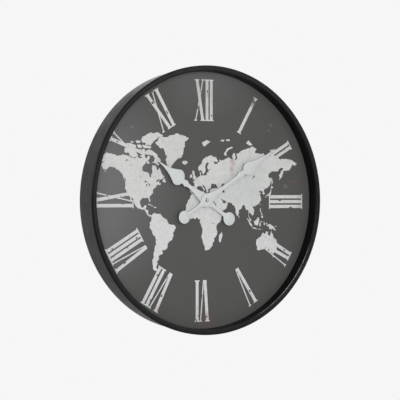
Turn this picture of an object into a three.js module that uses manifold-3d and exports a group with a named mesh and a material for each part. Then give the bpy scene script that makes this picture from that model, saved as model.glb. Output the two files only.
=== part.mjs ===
// A round wall clock: a sheet-steel case with a deep reveal, a flat board as the dial, two spade hands and a
// battery movement behind the board. Sizes are millimetres. Seen from the front, +X is right and +Z is up.
// The front faces -Y and the wall is at +Y. Pieces are drawn about the dial's axis, with depth 0 at the front
// plane, and the whole clock is then moved so that the slot's bearing point in the hanger is the origin.
import * as THREE from "three";
import { mergeVertices } from "three/addons/utils/BufferGeometryUtils.js";
import Module from "manifold-3d";

const wasm = await Module();
wasm.setup();

// Case
const CASE_DIAMETER = 600;
const CASE_DEPTH = 70;
const BAND_TAPER = 7;
const SHEET = 1.2;
const LIP_WIDTH = 11.5;
const SKIRT_DEPTH = 5.5;
const SKIRT_LAP = 1.9;
const CORNER_RADIUS = 3.5;
const REVEAL_EDGE_RADIUS = 1.8;
const REAR_HEM = 3.4;
const REAR_CORNER_RADIUS = 1.5;
const RING_SIDES = 72;
const TURNED_SIDES = 16;

// Gap between pieces that are welded, pressed or cut to each other
const FIT = 0.3;
// Radial gaps of a piece on the shaft or in the hole that carries it
const PRESS_GAP = 0.08;
const RUNNING_GAP = 0.15;

// Dial board
const DIAL_RECESS = 28.5;
const DIAL_THICKNESS = 3;
const DIAL_EDGE_GAP = 0.6;

// Brackets that hold the board in the band
const BRACKET_COUNT = 6;
const BRACKET_FIRST_ANGLE = 30;
const BRACKET_WIDTH = 18;
const BRACKET_SHEET = 1.5;
const BRACKET_FOOT = 16;
const BRACKET_LEG = 13.5;
const BRACKET_BEND = 2.4;
const SCREW_FROM_WALL = 8.5;
const SCREW_RADIUS = 1.5;
const SCREW_GRIP = 2.3;
const SCREW_POINT = 0.9;
const SCREW_HEAD_RADIUS = 3.2;
const SCREW_HEAD_HEIGHT = 2;
const SCREW_HEAD_EDGE = 1;
const SCREW_CROWN_RADIUS = 2.2;

// Hanger plate with a keyhole
const HANGER_WIDTH = 40;
const HANGER_HEIGHT = 38;
const HANGER_SHEET = 1.5;
const HANGER_LEG = 20;
const HANGER_INSET = 2.5;
const HANGER_CORNER = 5;
const SLOT_BELOW_TOP = 12;
const SLOT_RADIUS = 2.6;
const SLOT_LENGTH = 11;
const KEYHOLE_RADIUS = 5.5;

// Fixing of the movement through the board
const BUSH_RADIUS = 4;
const BUSH_PAST_NUT = 5.2;
const BOARD_HOLE_GAP = 0.3;
const RUBBER_RADIUS = 9.5;
const RUBBER_THICKNESS = 0.8;
const WASHER_RADIUS = 8.5;
const WASHER_THICKNESS = 0.6;
const NUT_ACROSS_FLATS = 12;
const NUT_HEIGHT = 2.2;

// Movement case
const MOVEMENT_WALL = 1.4;
const MOVEMENT_FLOOR = 1.5;
const MOVEMENT_CORNER = 3;
const COVER_THICKNESS = 1.5;
const COVER_RIB = 1;
const BOSS_RADIUS = 1.8;
const BOSS_HEIGHT = 1.4;
const SETTING_BOSS_RADIUS = 2.4;
const PIVOT_SINK = 0.8;

// Wheels lie in layers, one behind the other
const WHEEL_THICKNESS = 1;
const FLOOR_GAP = 0.4;
const LAYER_GAP = 0.7;
const TRAIN_END_GAP = 1;
const PINION_OVERHANG = 0.2;

// Teeth
const ROTOR_LEAVES = 8;
const FIFTH_TEETH = 48;
const FIFTH_LEAVES = 8;
const SECONDS_TEETH = 40;
const SECONDS_LEAVES = 8;
const THIRD_TEETH = 60;
const THIRD_LEAVES = 8;
const CENTRE_TEETH = 64;
const CANNON_LEAVES = 12;
const MINUTE_TEETH = 36;
const MINUTE_LEAVES = 10;
const HOUR_TEETH = 40;
const WHEEL_TOOTH_SHARE = 0.45;
const LEAF_SHARE = 0.38;
const WHEEL_ADDENDUM = 0.85;
const LEAF_ADDENDUM = 0.75;
const DEDENDUM = 1.2;
const PRESSURE_ANGLE = THREE.MathUtils.degToRad(20);

// Arbors: size of the centre wheel's teeth, room at a passing arbor, and bearings clockwise from the top
const CENTRE_MODULE = 0.3;
const FIFTH_MODULE = 0.35;
const PASSING_GAP = 0.6;
const THIRD_BEARING = THREE.MathUtils.degToRad(-60);
const FIFTH_BEARING = THREE.MathUtils.degToRad(30);
const ROTOR_BEARING = THREE.MathUtils.degToRad(70);
const MINUTE_BEARING = THREE.MathUtils.degToRad(90);
const ARBOR_RADIUS = 0.6;
const PIVOT_RADIUS = 0.45;
const SETTING_ARBOR_RADIUS = 1;
const ARBOR_SIDES = 8;

// Hand shafts
const HOUR_PIPE_RADIUS = 2.5;
const HOUR_PIPE_PAST_BUSH = 2.1;
const MINUTE_SHAFT_RADIUS = 1.5;
const WHEEL_SEAT_RADIUS = 1.9;

// Knob that sets the hands
const KNOB_RADIUS = 6.5;
const KNOB_HEIGHT = 3.2;
const KNOB_GAP = 0.4;
const KNOB_FACE = 1;
const KNOB_RIDGES = 24;
const KNOB_RIDGE_DEPTH = 0.45;

// Stepping motor
const STATOR_THICKNESS = 1;
const STATOR_GAP = 0.6;
const MAGNET_RADIUS = 2.6;
const MAGNET_HEIGHT = 2.2;
const MAGNET_SEAT_RADIUS = 1.2;
const STATOR_HALF_WIDTH = 6.2;
const STATOR_BELOW_ROTOR = 6;
const STATOR_ARM = 4;
const STATOR_PAST_COIL = 2;
const YOKE_WIDTH = 3;
const YOKE_GAP = 0.5;
const POST_RADIUS = 1.4;
const COIL_LEFT = -12;
const COIL_RIGHT = 16;
const COIL_TO_WHEEL = 1;
const COIL_ROOF_GAP = 0.7;
const COIL_FLANGE = 1;
const FLANGE_HALF_HEIGHT = 3.2;
const WINDING_HALF_HEIGHT = 2.9;
const WINDING_CORNER = 1;
const BARREL_HALF_HEIGHT = 2.1;
const CORE_HALF_HEIGHT = 1.2;
const CORE_GAP = 0.2;
const CORE_END = 5;

// Circuit
const BOARD_THICKNESS = 1;
const BOARD_STRIP = 3;
const BOARD_TO_WHEEL = 3;
const BOARD_ABOVE_AXIS = 4;
const CRYSTAL_RADIUS = 1;
const CRYSTAL_LENGTH = 6;
const CRYSTAL_FROM_WALL = 4.6;
const CRYSTAL_BELOW_AXIS = 2;
const CHIP_RADIUS = 3.2;
const CHIP_CROWN_RADIUS = 1.4;
const CHIP_HEIGHT = 1.2;
const CHIP_FROM_EDGE = 4.5;
const CHIP_BELOW_AXIS = 5;

// Battery, size AA, and its contacts
const CELL_RADIUS = 7.25;
const CELL_LENGTH = 49.5;
const CELL_CAP_RADIUS = 2.75;
const CELL_CAP_LENGTH = 1;
const CELL_FLOOR_GAP = 0.3;
const CELL_SIDE_GAP = 0.35;
const SPRING_ROOM = 2;
const CELL_EDGE = 0.6;
const CONTACT_SHEET = 0.4;
const CONTACT_WIDTH = 10;
const CONTACT_HALF_DEPTH = 4;
const CONTACT_TAIL_WIDTH = 2.4;
const TAIL_LAP = 0.6;
const TAIL_ON_BOARD = 2.6;
const TAIL_GAP = 0.1;

// Hands
const HAND_SHEET = 0.9;
const HUB_RADIUS = 15;
const HAND_GAP = 1.1;
const HAND_BUSH_FLANGE = 0.5;
const HOUR_BUSH_RADIUS = 4.6;
const HOUR_COLLAR_RADIUS = 3.6;
const MINUTE_BUSH_RADIUS = 3.8;
const MINUTE_COLLAR_RADIUS = 2.6;
const CAP_NUT_RADIUS = 4;
const CAP_NUT_HEIGHT = 2.9;
const CAP_NUT_WALL = 0.9;
const CAP_NUT_EDGE = 1.3;
const CAP_NUT_SHOULDER_RADIUS = 3.4;
const CAP_NUT_SHOULDER = 0.7;
const CAP_NUT_CROWN_RADIUS = 1.8;
const TAIL_ANGLE = THREE.MathUtils.degToRad(-50);
const NECK_ANGLE = THREE.MathUtils.degToRad(30);
const DISC_FLARE = 3;
const DISC_FLARE_PULL = 2;
const DISC_FLARE_LENGTH = 9;
const TAIL_FLARE_PULL = 4;
const TAIL_FLARE_LENGTH = 14;
const NECK_FLARE_SPREAD = 2.6;
const NECK_FLARE_PULL = 11;
const NECK_FLARE_LENGTH = 37;
const COLLAR_ROUND = 4;
const SHOULDER_SHARE = 0.6;
const SHOULDER_LIFT = 1;
const SHOULDER_RISE = 8;
const HOUR_ANGLE = THREE.MathUtils.degToRad(304.8);
const MINUTE_ANGLE = THREE.MathUtils.degToRad(57.6);
const HOUR_HAND = {
  length: 154, tipHalf: 0.9, lobeReach: 90, lobeHalf: 18.2, lobeRise: 8.5, taperReach: 108, taperHalf: 2,
  notchReach: 74.5, notchHalf: 5.7, collarReach: 65, collarHalf: 8, neckReach: 55, neckHalf: 4.2,
  tailReach: 73.5, tailDiscRadius: 15, armHalf: 4,
};
const MINUTE_HAND = {
  length: 218, tipHalf: 0.8, lobeReach: 133, lobeHalf: 15.2, lobeRise: 9, taperReach: 150, taperHalf: 1.8,
  notchReach: 119, notchHalf: 5.6, collarReach: 105, collarHalf: 8.4, neckReach: 90, neckHalf: 4,
  tailReach: 70, tailDiscRadius: 14.3, armHalf: 3.1,
};

// Arbor distances and tooth sizes: the fifth and minute arbors pass beside the centre wheel
const thirdDistance = (CENTRE_MODULE * (CENTRE_TEETH + THIRD_LEAVES)) / 2;
const centreTip = CENTRE_MODULE * (CENTRE_TEETH / 2 + WHEEL_ADDENDUM);
const fifthDistance = centreTip + PASSING_GAP + ARBOR_RADIUS;
const minuteDistance = centreTip + PASSING_GAP + SETTING_ARBOR_RADIUS;
const rotorDistance = (FIFTH_MODULE * (FIFTH_TEETH + ROTOR_LEAVES)) / 2;
const thirdModule = moduleFor(thirdDistance, THIRD_TEETH, SECONDS_LEAVES);
const secondsModule = moduleFor(fifthDistance, SECONDS_TEETH, FIFTH_LEAVES);
const cannonModule = moduleFor(minuteDistance, MINUTE_TEETH, CANNON_LEAVES);
const hourModule = moduleFor(minuteDistance, HOUR_TEETH, MINUTE_LEAVES);

// Wheel layers, as depths behind the movement's front face
const layerStep = WHEEL_THICKNESS + LAYER_GAP;
const hourLayer = MOVEMENT_FLOOR + FLOOR_GAP;
const minuteLayer = hourLayer + layerStep;
const centreLayer = minuteLayer + layerStep;
const thirdLayer = centreLayer + layerStep;
const secondsLayer = thirdLayer + layerStep;
const fifthLayer = secondsLayer + layerStep;
const movementDepth = fifthLayer + WHEEL_THICKNESS + PINION_OVERHANG + TRAIN_END_GAP + BOSS_HEIGHT;

// Heights above the dial's axis: the coil clears the fifth wheel, and the yoke lies under the coil
const fifthTop = fifthDistance * Math.cos(FIFTH_BEARING) + FIFTH_MODULE * (FIFTH_TEETH / 2 + WHEEL_ADDENDUM);
const coilHeight = fifthTop + COIL_TO_WHEEL + FLANGE_HALF_HEIGHT;
const yokeHigh = coilHeight - FLANGE_HALF_HEIGHT - YOKE_GAP;
const yokeLow = yokeHigh - YOKE_WIDTH;
const yokeMiddle = (yokeLow + yokeHigh) / 2;

// Bays of the movement: the battery sets the lower one, the wheels and the coil the upper one
const hourTip = hourModule * (HOUR_TEETH / 2 + WHEEL_ADDENDUM);
const bayHalfWidth = (CELL_LENGTH + CELL_CAP_LENGTH + CONTACT_SHEET + FIT + SPRING_ROOM) / 2;
const movementHalfWidth = bayHalfWidth + MOVEMENT_WALL;
const dividerHigh = -(hourTip + FIT + BOARD_STRIP + FIT);
const dividerLow = dividerHigh - MOVEMENT_WALL;
const cellBayLow = dividerLow - 2 * (CELL_RADIUS + CELL_SIDE_GAP);
const movementBottom = cellBayLow - MOVEMENT_WALL;
const wheelBayHigh = coilHeight + FLANGE_HALF_HEIGHT + COIL_ROOF_GAP;
const movementTop = wheelBayHigh + MOVEMENT_WALL;

// Depths that follow from the sizes above
const dialFace = DIAL_RECESS;
const dialBack = dialFace + DIAL_THICKNESS;
const movementFront = dialBack + RUBBER_THICKNESS;
const floorBack = movementFront + MOVEMENT_FLOOR;
const coverFront = movementFront + movementDepth;
const coverBack = coverFront + COVER_THICKNESS;
const washerFront = dialFace - WASHER_THICKNESS;
const nutFront = washerFront - NUT_HEIGHT;
const bushFront = nutFront - BUSH_PAST_NUT;
const hourPipeFront = bushFront - HOUR_PIPE_PAST_BUSH;
const hourBushBack = bushFront - FIT;
const hourHandBack = hourBushBack - HAND_BUSH_FLANGE;
const hourHandFront = hourHandBack - HAND_SHEET;
const minuteBushBack = hourPipeFront - FIT;
const minuteHandBack = hourHandFront - HAND_GAP - HAND_BUSH_FLANGE;
const minuteHandFront = minuteHandBack - HAND_SHEET;
const capFront = minuteHandFront - CAP_NUT_HEIGHT;
const minuteShaftFront = capFront + CAP_NUT_WALL + FIT;

// Radii of the case
const caseRadius = CASE_DIAMETER / 2;
const revealRadius = caseRadius - LIP_WIDTH;
const bandFrontRadius = caseRadius - SHEET - FIT;
const bandFront = SKIRT_DEPTH - SKIRT_LAP;
const rearRadius = caseRadius - BAND_TAPER;
const facetShare = Math.cos(Math.PI / RING_SIDES);

// Inner radius of the conical band at a depth, measured at the corners of its facets
function bandInnerRadius(depth) {
  const share = (depth - bandFront) / (CASE_DEPTH - bandFront);
  return bandFrontRadius + (rearRadius - bandFrontRadius) * share - SHEET;
}

// How far out a flat piece of this width may reach inside the band at a depth
function reachInBand(depth, width) {
  const flatOfFacet = bandInnerRadius(depth) * facetShare;
  return Math.sqrt(flatOfFacet ** 2 - (width / 2) ** 2) - FIT;
}

// Joining and cutting
function toSolid(geometry) {
  const bare = new THREE.BufferGeometry();
  bare.setAttribute("position", geometry.attributes.position);
  bare.setIndex(geometry.index);
  const merged = mergeVertices(bare, 1e-4);
  const points = merged.attributes.position;
  const corners = merged.index.array;
  const kept = [];
  const a = new THREE.Vector3();
  const b = new THREE.Vector3();
  const c = new THREE.Vector3();
  let volume = 0;
  for (let i = 0; i < corners.length; i += 3) {
    const [first, second, third] = [corners[i], corners[i + 1], corners[i + 2]];
    if (first === second || second === third || third === first) continue;
    kept.push([first, second, third]);
    a.fromBufferAttribute(points, first);
    b.fromBufferAttribute(points, second);
    c.fromBufferAttribute(points, third);
    volume += a.dot(b.cross(c));
  }
  const facing = volume < 0 ? kept.map(([first, second, third]) => [first, third, second]) : kept;
  const mesh = new wasm.Mesh({
    numProp: 3,
    vertProperties: Float32Array.from(points.array),
    triVerts: Uint32Array.from(facing.flat()),
  });
  return new wasm.Manifold(mesh);
}

function toGeometry(solid) {
  const mesh = solid.getMesh();
  const geometry = new THREE.BufferGeometry();
  geometry.setAttribute("position", new THREE.BufferAttribute(mesh.vertProperties, 3));
  geometry.setIndex(new THREE.BufferAttribute(mesh.triVerts, 1));
  return geometry;
}

function join(...solids) {
  return solids.reduce((whole, solid) => whole.add(solid));
}

function cut(solid, ...tools) {
  return tools.reduce((rest, tool) => rest.subtract(tool), solid);
}

// Revolved about the clock's axis from a closed outline of [radius, depth] points
function revolve(outline, sides) {
  const points = [...outline, outline[0]].map(([radius, depth]) => new THREE.Vector2(radius, depth));
  return toSolid(new THREE.LatheGeometry(points, sides));
}

// A tube or disc about the clock's axis
function ring(inner, outer, front, back, sides) {
  return revolve([[inner, front], [outer, front], [outer, back], [inner, back]], sides);
}

// A round bar along the clock's axis, at x and z
function bar(radius, front, back, x = 0, z = 0, sides = ARBOR_SIDES) {
  const geometry = new THREE.CylinderGeometry(radius, radius, back - front, sides);
  geometry.translate(x, (front + back) / 2, z);
  return toSolid(geometry);
}

function block(left, right, front, back, low, high) {
  const geometry = new THREE.BoxGeometry(right - left, back - front, high - low);
  geometry.translate((left + right) / 2, (front + back) / 2, (low + high) / 2);
  return toSolid(geometry);
}

// A plate from an outline drawn as seen from the front
function plate(shape, front, back, curveSegments = 6) {
  const settings = { depth: back - front, bevelEnabled: false, curveSegments, steps: 1 };
  const geometry = new THREE.ExtrudeGeometry(shape, settings);
  geometry.rotateX(Math.PI / 2);
  geometry.translate(0, back, 0);
  return toSolid(geometry);
}

// A strip of this width across X, from an outline drawn with height as X and depth as Y
function strip(shape, width, curveSegments = 2) {
  const settings = { depth: width, bevelEnabled: false, curveSegments, steps: 1 };
  const geometry = new THREE.ExtrudeGeometry(shape, settings);
  geometry.translate(0, 0, -width / 2);
  const toHeight = new THREE.Vector3(0, 0, 1);
  const toDepth = new THREE.Vector3(0, 1, 0);
  const across = new THREE.Vector3(-1, 0, 0);
  geometry.applyMatrix4(new THREE.Matrix4().makeBasis(toHeight, toDepth, across));
  return toSolid(geometry);
}

// Points of a quarter bend from one angle to another, as [radius, depth] about a centre
function bend(centreRadius, centreDepth, radius, fromDegrees, toDegrees, steps) {
  const points = [];
  for (let step = 0; step <= steps; step += 1) {
    const angle = THREE.MathUtils.degToRad(fromDegrees + ((toDegrees - fromDegrees) * step) / steps);
    points.push([centreRadius + radius * Math.cos(angle), centreDepth + radius * Math.sin(angle)]);
  }
  return points;
}

function roundedRectangle(left, right, low, high, radius) {
  const shape = new THREE.Shape();
  shape.moveTo(left + radius, low);
  shape.lineTo(right - radius, low);
  shape.absarc(right - radius, low + radius, radius, -Math.PI / 2, 0);
  shape.lineTo(right, high - radius);
  shape.absarc(right - radius, high - radius, radius, 0, Math.PI / 2);
  shape.lineTo(left + radius, high);
  shape.absarc(left + radius, high - radius, radius, Math.PI / 2, Math.PI);
  shape.lineTo(left, low + radius);
  shape.absarc(left + radius, low + radius, radius, Math.PI, 1.5 * Math.PI);
  return shape;
}

function circlePath(x, y, radius) {
  const path = new THREE.Path();
  path.absarc(x, y, radius, 0, 2 * Math.PI);
  return path;
}

// Both halves of a symmetrical outline whose right half runs from the bottom to the top
function mirrored(rightHalf, divisions) {
  const right = rightHalf.getPoints(divisions);
  const left = right.map((point) => new THREE.Vector2(-point.x, point.y)).reverse();
  return new THREE.Shape([...right, ...left.filter((point) => point.x < -1e-6)]);
}

// Gear teeth: an involute flank through a few radii, with its tooth centred at the top
function gear(teeth, module, share, addendum, flankSteps, front, back) {
  const pitchRadius = (teeth * module) / 2;
  const baseRadius = pitchRadius * Math.cos(PRESSURE_ANGLE);
  const rootRadius = pitchRadius - DEDENDUM * module;
  const tipRadius = pitchRadius + addendum * module;
  const involute = (radius) => {
    const angle = Math.acos(Math.min(1, baseRadius / radius));
    return Math.tan(angle) - angle;
  };
  const halfAt = (radius) => (share * Math.PI) / teeth + involute(pitchRadius) - involute(radius);
  const points = [];
  for (let tooth = 0; tooth < teeth; tooth += 1) {
    const middle = Math.PI / 2 - (2 * Math.PI * tooth) / teeth;
    for (let step = 0; step <= flankSteps; step += 1) {
      const radius = rootRadius + ((tipRadius - rootRadius) * step) / flankSteps;
      const angle = middle + halfAt(radius);
      points.push(new THREE.Vector2(radius * Math.cos(angle), radius * Math.sin(angle)));
    }
    for (let step = flankSteps; step >= 0; step -= 1) {
      const radius = rootRadius + ((tipRadius - rootRadius) * step) / flankSteps;
      const angle = middle - halfAt(radius);
      points.push(new THREE.Vector2(radius * Math.cos(angle), radius * Math.sin(angle)));
    }
  }
  return plate(new THREE.Shape(points), front, back);
}

function wheel(teeth, module, layer) {
  const front = movementFront + layer;
  return gear(teeth, module, WHEEL_TOOTH_SHARE, WHEEL_ADDENDUM, 1, front, front + WHEEL_THICKNESS);
}

function pinion(leaves, module, layer) {
  const front = movementFront + layer - PINION_OVERHANG;
  const back = movementFront + layer + WHEEL_THICKNESS + PINION_OVERHANG;
  return gear(leaves, module, LEAF_SHARE, LEAF_ADDENDUM, 1, front, back);
}

function moduleFor(distance, teeth, leaves) {
  return (2 * distance) / (teeth + leaves);
}

// Angle that puts a gap of the second gear on a tooth of the first, seen along the bearing between them
function meshAngle(firstAngle, firstTeeth, secondTeeth, bearing) {
  return bearing + Math.PI - ((firstAngle - bearing) * firstTeeth) / secondTeeth - Math.PI / secondTeeth;
}

function placeAt(distance, bearing) {
  return { x: distance * Math.sin(bearing), z: distance * Math.cos(bearing) };
}

// Materials
function finish(color, roughness, metalness) {
  return new THREE.MeshStandardMaterial({ color, roughness, metalness });
}
const blackPaint = finish(0x2b2b2d, 0.5, 0.2);
const boardGrey = finish(0x57585a, 0.6, 0);
const handPaint = finish(0xd3d6d8, 0.45, 0.1);
const zincSteel = finish(0xa9adb0, 0.4, 0.8);
const brass = finish(0xc2a04e, 0.35, 0.9);
const caseBlack = finish(0x1c1c1e, 0.5, 0);
const wheelWhite = finish(0xe6e3da, 0.5, 0);
const rubberBlack = finish(0x141414, 0.9, 0);
const copper = finish(0xb3672f, 0.4, 0.8);
const boardGreen = finish(0x2f6a3c, 0.5, 0);
const ferrite = finish(0x3a3a3c, 0.6, 0.3);
const cellSleeve = finish(0x30343a, 0.35, 0.3);

const clock = new THREE.Group();
clock.name = "map_clock";
const body = new THREE.Group();
clock.add(body);

function addPiece(parent, name, material, solid) {
  const mesh = new THREE.Mesh(toGeometry(solid), material);
  mesh.name = name;
  parent.add(mesh);
}

function turnedGroup(parent, angle, x = 0, z = 0) {
  const group = new THREE.Group();
  group.position.set(x, 0, z);
  group.rotation.y = angle;
  parent.add(group);
  return group;
}

// Bezel: the skirt over the band, the flat lip and the reveal wall down to the board
const bezelOutline = [
  [caseRadius, SKIRT_DEPTH],
  ...bend(caseRadius - CORNER_RADIUS, CORNER_RADIUS, CORNER_RADIUS, 0, -90, 2),
  ...bend(revealRadius + REVEAL_EDGE_RADIUS, REVEAL_EDGE_RADIUS, REVEAL_EDGE_RADIUS, -90, -180, 2),
  [revealRadius, dialFace],
  [revealRadius + SHEET, dialFace],
  [revealRadius + SHEET, REVEAL_EDGE_RADIUS],
  [revealRadius + REVEAL_EDGE_RADIUS, SHEET],
  ...bend(caseRadius - CORNER_RADIUS, CORNER_RADIUS, CORNER_RADIUS - SHEET, -90, 0, 1),
  [caseRadius - SHEET, SKIRT_DEPTH],
];
addPiece(body, "bezel_ring", blackPaint, revolve(bezelOutline, RING_SIDES));

// Band: a slightly conical strip tucked under the skirt, turned in at the rear
const bandOutline = [
  [bandFrontRadius, bandFront],
  ...bend(rearRadius - REAR_CORNER_RADIUS, CASE_DEPTH - REAR_CORNER_RADIUS, REAR_CORNER_RADIUS, 0, 90, 2),
  [rearRadius - REAR_HEM, CASE_DEPTH],
  [rearRadius - REAR_HEM, CASE_DEPTH - SHEET],
  [bandInnerRadius(CASE_DEPTH - SHEET), CASE_DEPTH - SHEET],
  [bandFrontRadius - SHEET, bandFront],
];
addPiece(body, "case_band", blackPaint, revolve(bandOutline, RING_SIDES));

// Board
const bracketReach = reachInBand(dialBack + BRACKET_LEG, BRACKET_WIDTH);
const screwReach = bracketReach - SCREW_FROM_WALL;
const boardRadius = bandInnerRadius(dialBack) - DIAL_EDGE_GAP;
const boardHole = BUSH_RADIUS + BOARD_HOLE_GAP;
const boardBlank = bar(boardRadius, dialFace, dialBack, 0, 0, RING_SIDES);
const bushHole = bar(boardHole, dialFace - FIT, dialBack + FIT, 0, 0, TURNED_SIDES);
const bracketAngles = Array.from({ length: BRACKET_COUNT }, (_, index) => {
  return THREE.MathUtils.degToRad(BRACKET_FIRST_ANGLE + (360 / BRACKET_COUNT) * index);
});
const screwHoles = bracketAngles.map((angle) => {
  const place = placeAt(screwReach, angle);
  return bar(SCREW_RADIUS + RUNNING_GAP, dialFace + FIT, dialBack + FIT, place.x, place.z);
});
addPiece(body, "dial_board", boardGrey, cut(boardBlank, bushHole, ...screwHoles));

// Brackets bent from strip: the foot lies on the board's back and the leg stands along the band
const footBack = dialBack + BRACKET_SHEET;
const legInner = bracketReach - BRACKET_SHEET;
const bracketOutline = new THREE.Shape();
bracketOutline.moveTo(bracketReach - BRACKET_FOOT, dialBack);
bracketOutline.lineTo(bracketReach - BRACKET_BEND, dialBack);
bracketOutline.absarc(bracketReach - BRACKET_BEND, dialBack + BRACKET_BEND, BRACKET_BEND, -Math.PI / 2, 0);
bracketOutline.lineTo(bracketReach, dialBack + BRACKET_LEG);
bracketOutline.lineTo(legInner, dialBack + BRACKET_LEG);
bracketOutline.lineTo(legInner, dialBack + BRACKET_BEND);
bracketOutline.lineTo(bracketReach - BRACKET_BEND, footBack);
bracketOutline.lineTo(bracketReach - BRACKET_FOOT, footBack);
const bracketHole = bar(SCREW_RADIUS + FIT, dialBack - FIT, footBack + FIT, 0, screwReach);
const bracketSolid = cut(strip(bracketOutline, BRACKET_WIDTH), bracketHole);
const screwOutline = [
  [0, dialBack - SCREW_GRIP],
  [SCREW_RADIUS, dialBack - SCREW_GRIP + SCREW_POINT],
  [SCREW_RADIUS, footBack],
  [SCREW_HEAD_RADIUS, footBack],
  [SCREW_HEAD_RADIUS, footBack + SCREW_HEAD_EDGE],
  [SCREW_CROWN_RADIUS, footBack + SCREW_HEAD_HEIGHT],
  [0, footBack + SCREW_HEAD_HEIGHT],
];
const screwSolid = revolve(screwOutline, ARBOR_SIDES).translate(0, 0, screwReach);
bracketAngles.forEach((angle, index) => {
  const station = turnedGroup(body, angle);
  addPiece(station, `dial_bracket_${index + 1}`, zincSteel, bracketSolid);
  addPiece(station, `bracket_screw_${index + 1}`, zincSteel, screwSolid);
});

// Hanger: a bent plate under the top of the band, with a keyhole for the wall screw
const hangerBack = CASE_DEPTH - HANGER_INSET;
const hangerFront = hangerBack - HANGER_SHEET;
const hangerTop = reachInBand(hangerBack, HANGER_WIDTH);
const slotTop = hangerTop - SLOT_BELOW_TOP;
const keyholeMiddle = slotTop - SLOT_RADIUS - SLOT_LENGTH;
const halfHanger = HANGER_WIDTH / 2;
const hangerFace = new THREE.Shape();
hangerFace.moveTo(halfHanger, hangerTop);
hangerFace.lineTo(-halfHanger, hangerTop);
hangerFace.lineTo(-halfHanger, hangerTop - HANGER_HEIGHT + HANGER_CORNER);
hangerFace.lineTo(-halfHanger + HANGER_CORNER, hangerTop - HANGER_HEIGHT);
hangerFace.lineTo(halfHanger - HANGER_CORNER, hangerTop - HANGER_HEIGHT);
hangerFace.lineTo(halfHanger, hangerTop - HANGER_HEIGHT + HANGER_CORNER);
const slotJoin = Math.asin(SLOT_RADIUS / KEYHOLE_RADIUS);
const keyhole = new THREE.Path();
keyhole.absarc(0, slotTop - SLOT_RADIUS, SLOT_RADIUS, 0, Math.PI);
keyhole.absarc(0, keyholeMiddle, KEYHOLE_RADIUS, Math.PI / 2 + slotJoin, 2.5 * Math.PI - slotJoin);
keyhole.closePath();
hangerFace.holes.push(keyhole);
const hangerLeg = block(
  -halfHanger, halfHanger, hangerBack - HANGER_LEG, hangerBack, hangerTop - HANGER_SHEET, hangerTop,
);
addPiece(body, "hanger_plate", zincSteel, join(plate(hangerFace, hangerFront, hangerBack), hangerLeg));

// Arbor positions
const third = placeAt(thirdDistance, THIRD_BEARING);
const fifth = placeAt(fifthDistance, FIFTH_BEARING);
const rotorStep = placeAt(rotorDistance, ROTOR_BEARING);
const rotor = { x: fifth.x + rotorStep.x, z: fifth.z + rotorStep.z };
const minute = placeAt(minuteDistance, MINUTE_BEARING);
const pivotFront = floorBack - PIVOT_SINK;
const pivotBack = coverFront + PIVOT_SINK - FIT;
const bossFront = coverFront - BOSS_HEIGHT;

// Movement case: a tray with one bay for the wheels and one, open to the rear, for the battery
const boardBack = floorBack + BOARD_THICKNESS;
const statorFront = movementFront + centreLayer;
const statorBack = statorFront + STATOR_THICKNESS;
const coreLeft = COIL_LEFT - CORE_END;
const coreRight = COIL_RIGHT + CORE_END;
const trayShape = roundedRectangle(
  -movementHalfWidth, movementHalfWidth, movementBottom, movementTop, MOVEMENT_CORNER,
);
const wheelBay = block(
  -bayHalfWidth, bayHalfWidth, floorBack, coverFront + FIT, dividerHigh, wheelBayHigh,
);
const cellBay = block(
  -bayHalfWidth, bayHalfWidth, floorBack, coverFront + FIT, cellBayLow, dividerLow,
);
const tailNotches = [-1, 1].map((side) => {
  const inner = bayHalfWidth - CONTACT_TAIL_WIDTH - 2 * FIT;
  const [left, right] = side < 0 ? [-bayHalfWidth, -inner] : [inner, bayHalfWidth];
  return block(left, right, floorBack, boardBack + 3 * CONTACT_SHEET, dividerLow - FIT, dividerHigh + FIT);
});
const floorPivots = [third, fifth, rotor].map(({ x, z }) => {
  return bar(PIVOT_RADIUS + RUNNING_GAP, pivotFront - FIT, floorBack + FIT, x, z);
});
const settingPivot = bar(
  SETTING_ARBOR_RADIUS + RUNNING_GAP, pivotFront - FIT, floorBack + FIT, minute.x, minute.z,
);
const statorPosts = [coreLeft + STATOR_ARM / 2, coreRight - STATOR_ARM / 2].map((x) => {
  return bar(POST_RADIUS, floorBack - FIT, statorFront, x, yokeMiddle);
});
const bush = bar(BUSH_RADIUS, bushFront, floorBack, 0, 0, TURNED_SIDES);
const bushBore = bar(HOUR_PIPE_RADIUS + RUNNING_GAP, bushFront - FIT, floorBack + FIT, 0, 0, TURNED_SIDES);
const trayBlank = join(plate(trayShape, movementFront, coverFront, 3), bush);
const trayBays = cut(trayBlank, wheelBay, cellBay, ...tailNotches, ...floorPivots, settingPivot, bushBore);
addPiece(body, "movement_tray", caseBlack, join(trayBays, ...statorPosts));

// Cover over the wheel bay, with a rib inside the walls and a boss for each pivot
const coverShape = roundedRectangle(
  -movementHalfWidth, movementHalfWidth, dividerLow, movementTop, MOVEMENT_CORNER,
);
const ribOuter = block(
  -bayHalfWidth + FIT, bayHalfWidth - FIT, coverFront - COVER_RIB, coverFront + FIT,
  dividerHigh + FIT, wheelBayHigh - FIT,
);
const ribInner = block(
  -bayHalfWidth + FIT + COVER_RIB, bayHalfWidth - FIT - COVER_RIB, coverFront - 2 * COVER_RIB, coverFront,
  dividerHigh + FIT + COVER_RIB, wheelBayHigh - FIT - COVER_RIB,
);
const pivotPlaces = [{ x: 0, z: 0 }, third, fifth, rotor];
const bosses = pivotPlaces.map(({ x, z }) => bar(BOSS_RADIUS, bossFront, coverFront + FIT, x, z));
const coverPivots = pivotPlaces.map(({ x, z }) => {
  return bar(PIVOT_RADIUS + RUNNING_GAP, bossFront - FIT, pivotBack + FIT, x, z);
});
const settingHole = bar(
  SETTING_ARBOR_RADIUS + RUNNING_GAP, bossFront - FIT, coverBack + FIT, minute.x, minute.z,
);
const settingBoss = bar(SETTING_BOSS_RADIUS, bossFront, coverFront + FIT, minute.x, minute.z);
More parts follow.
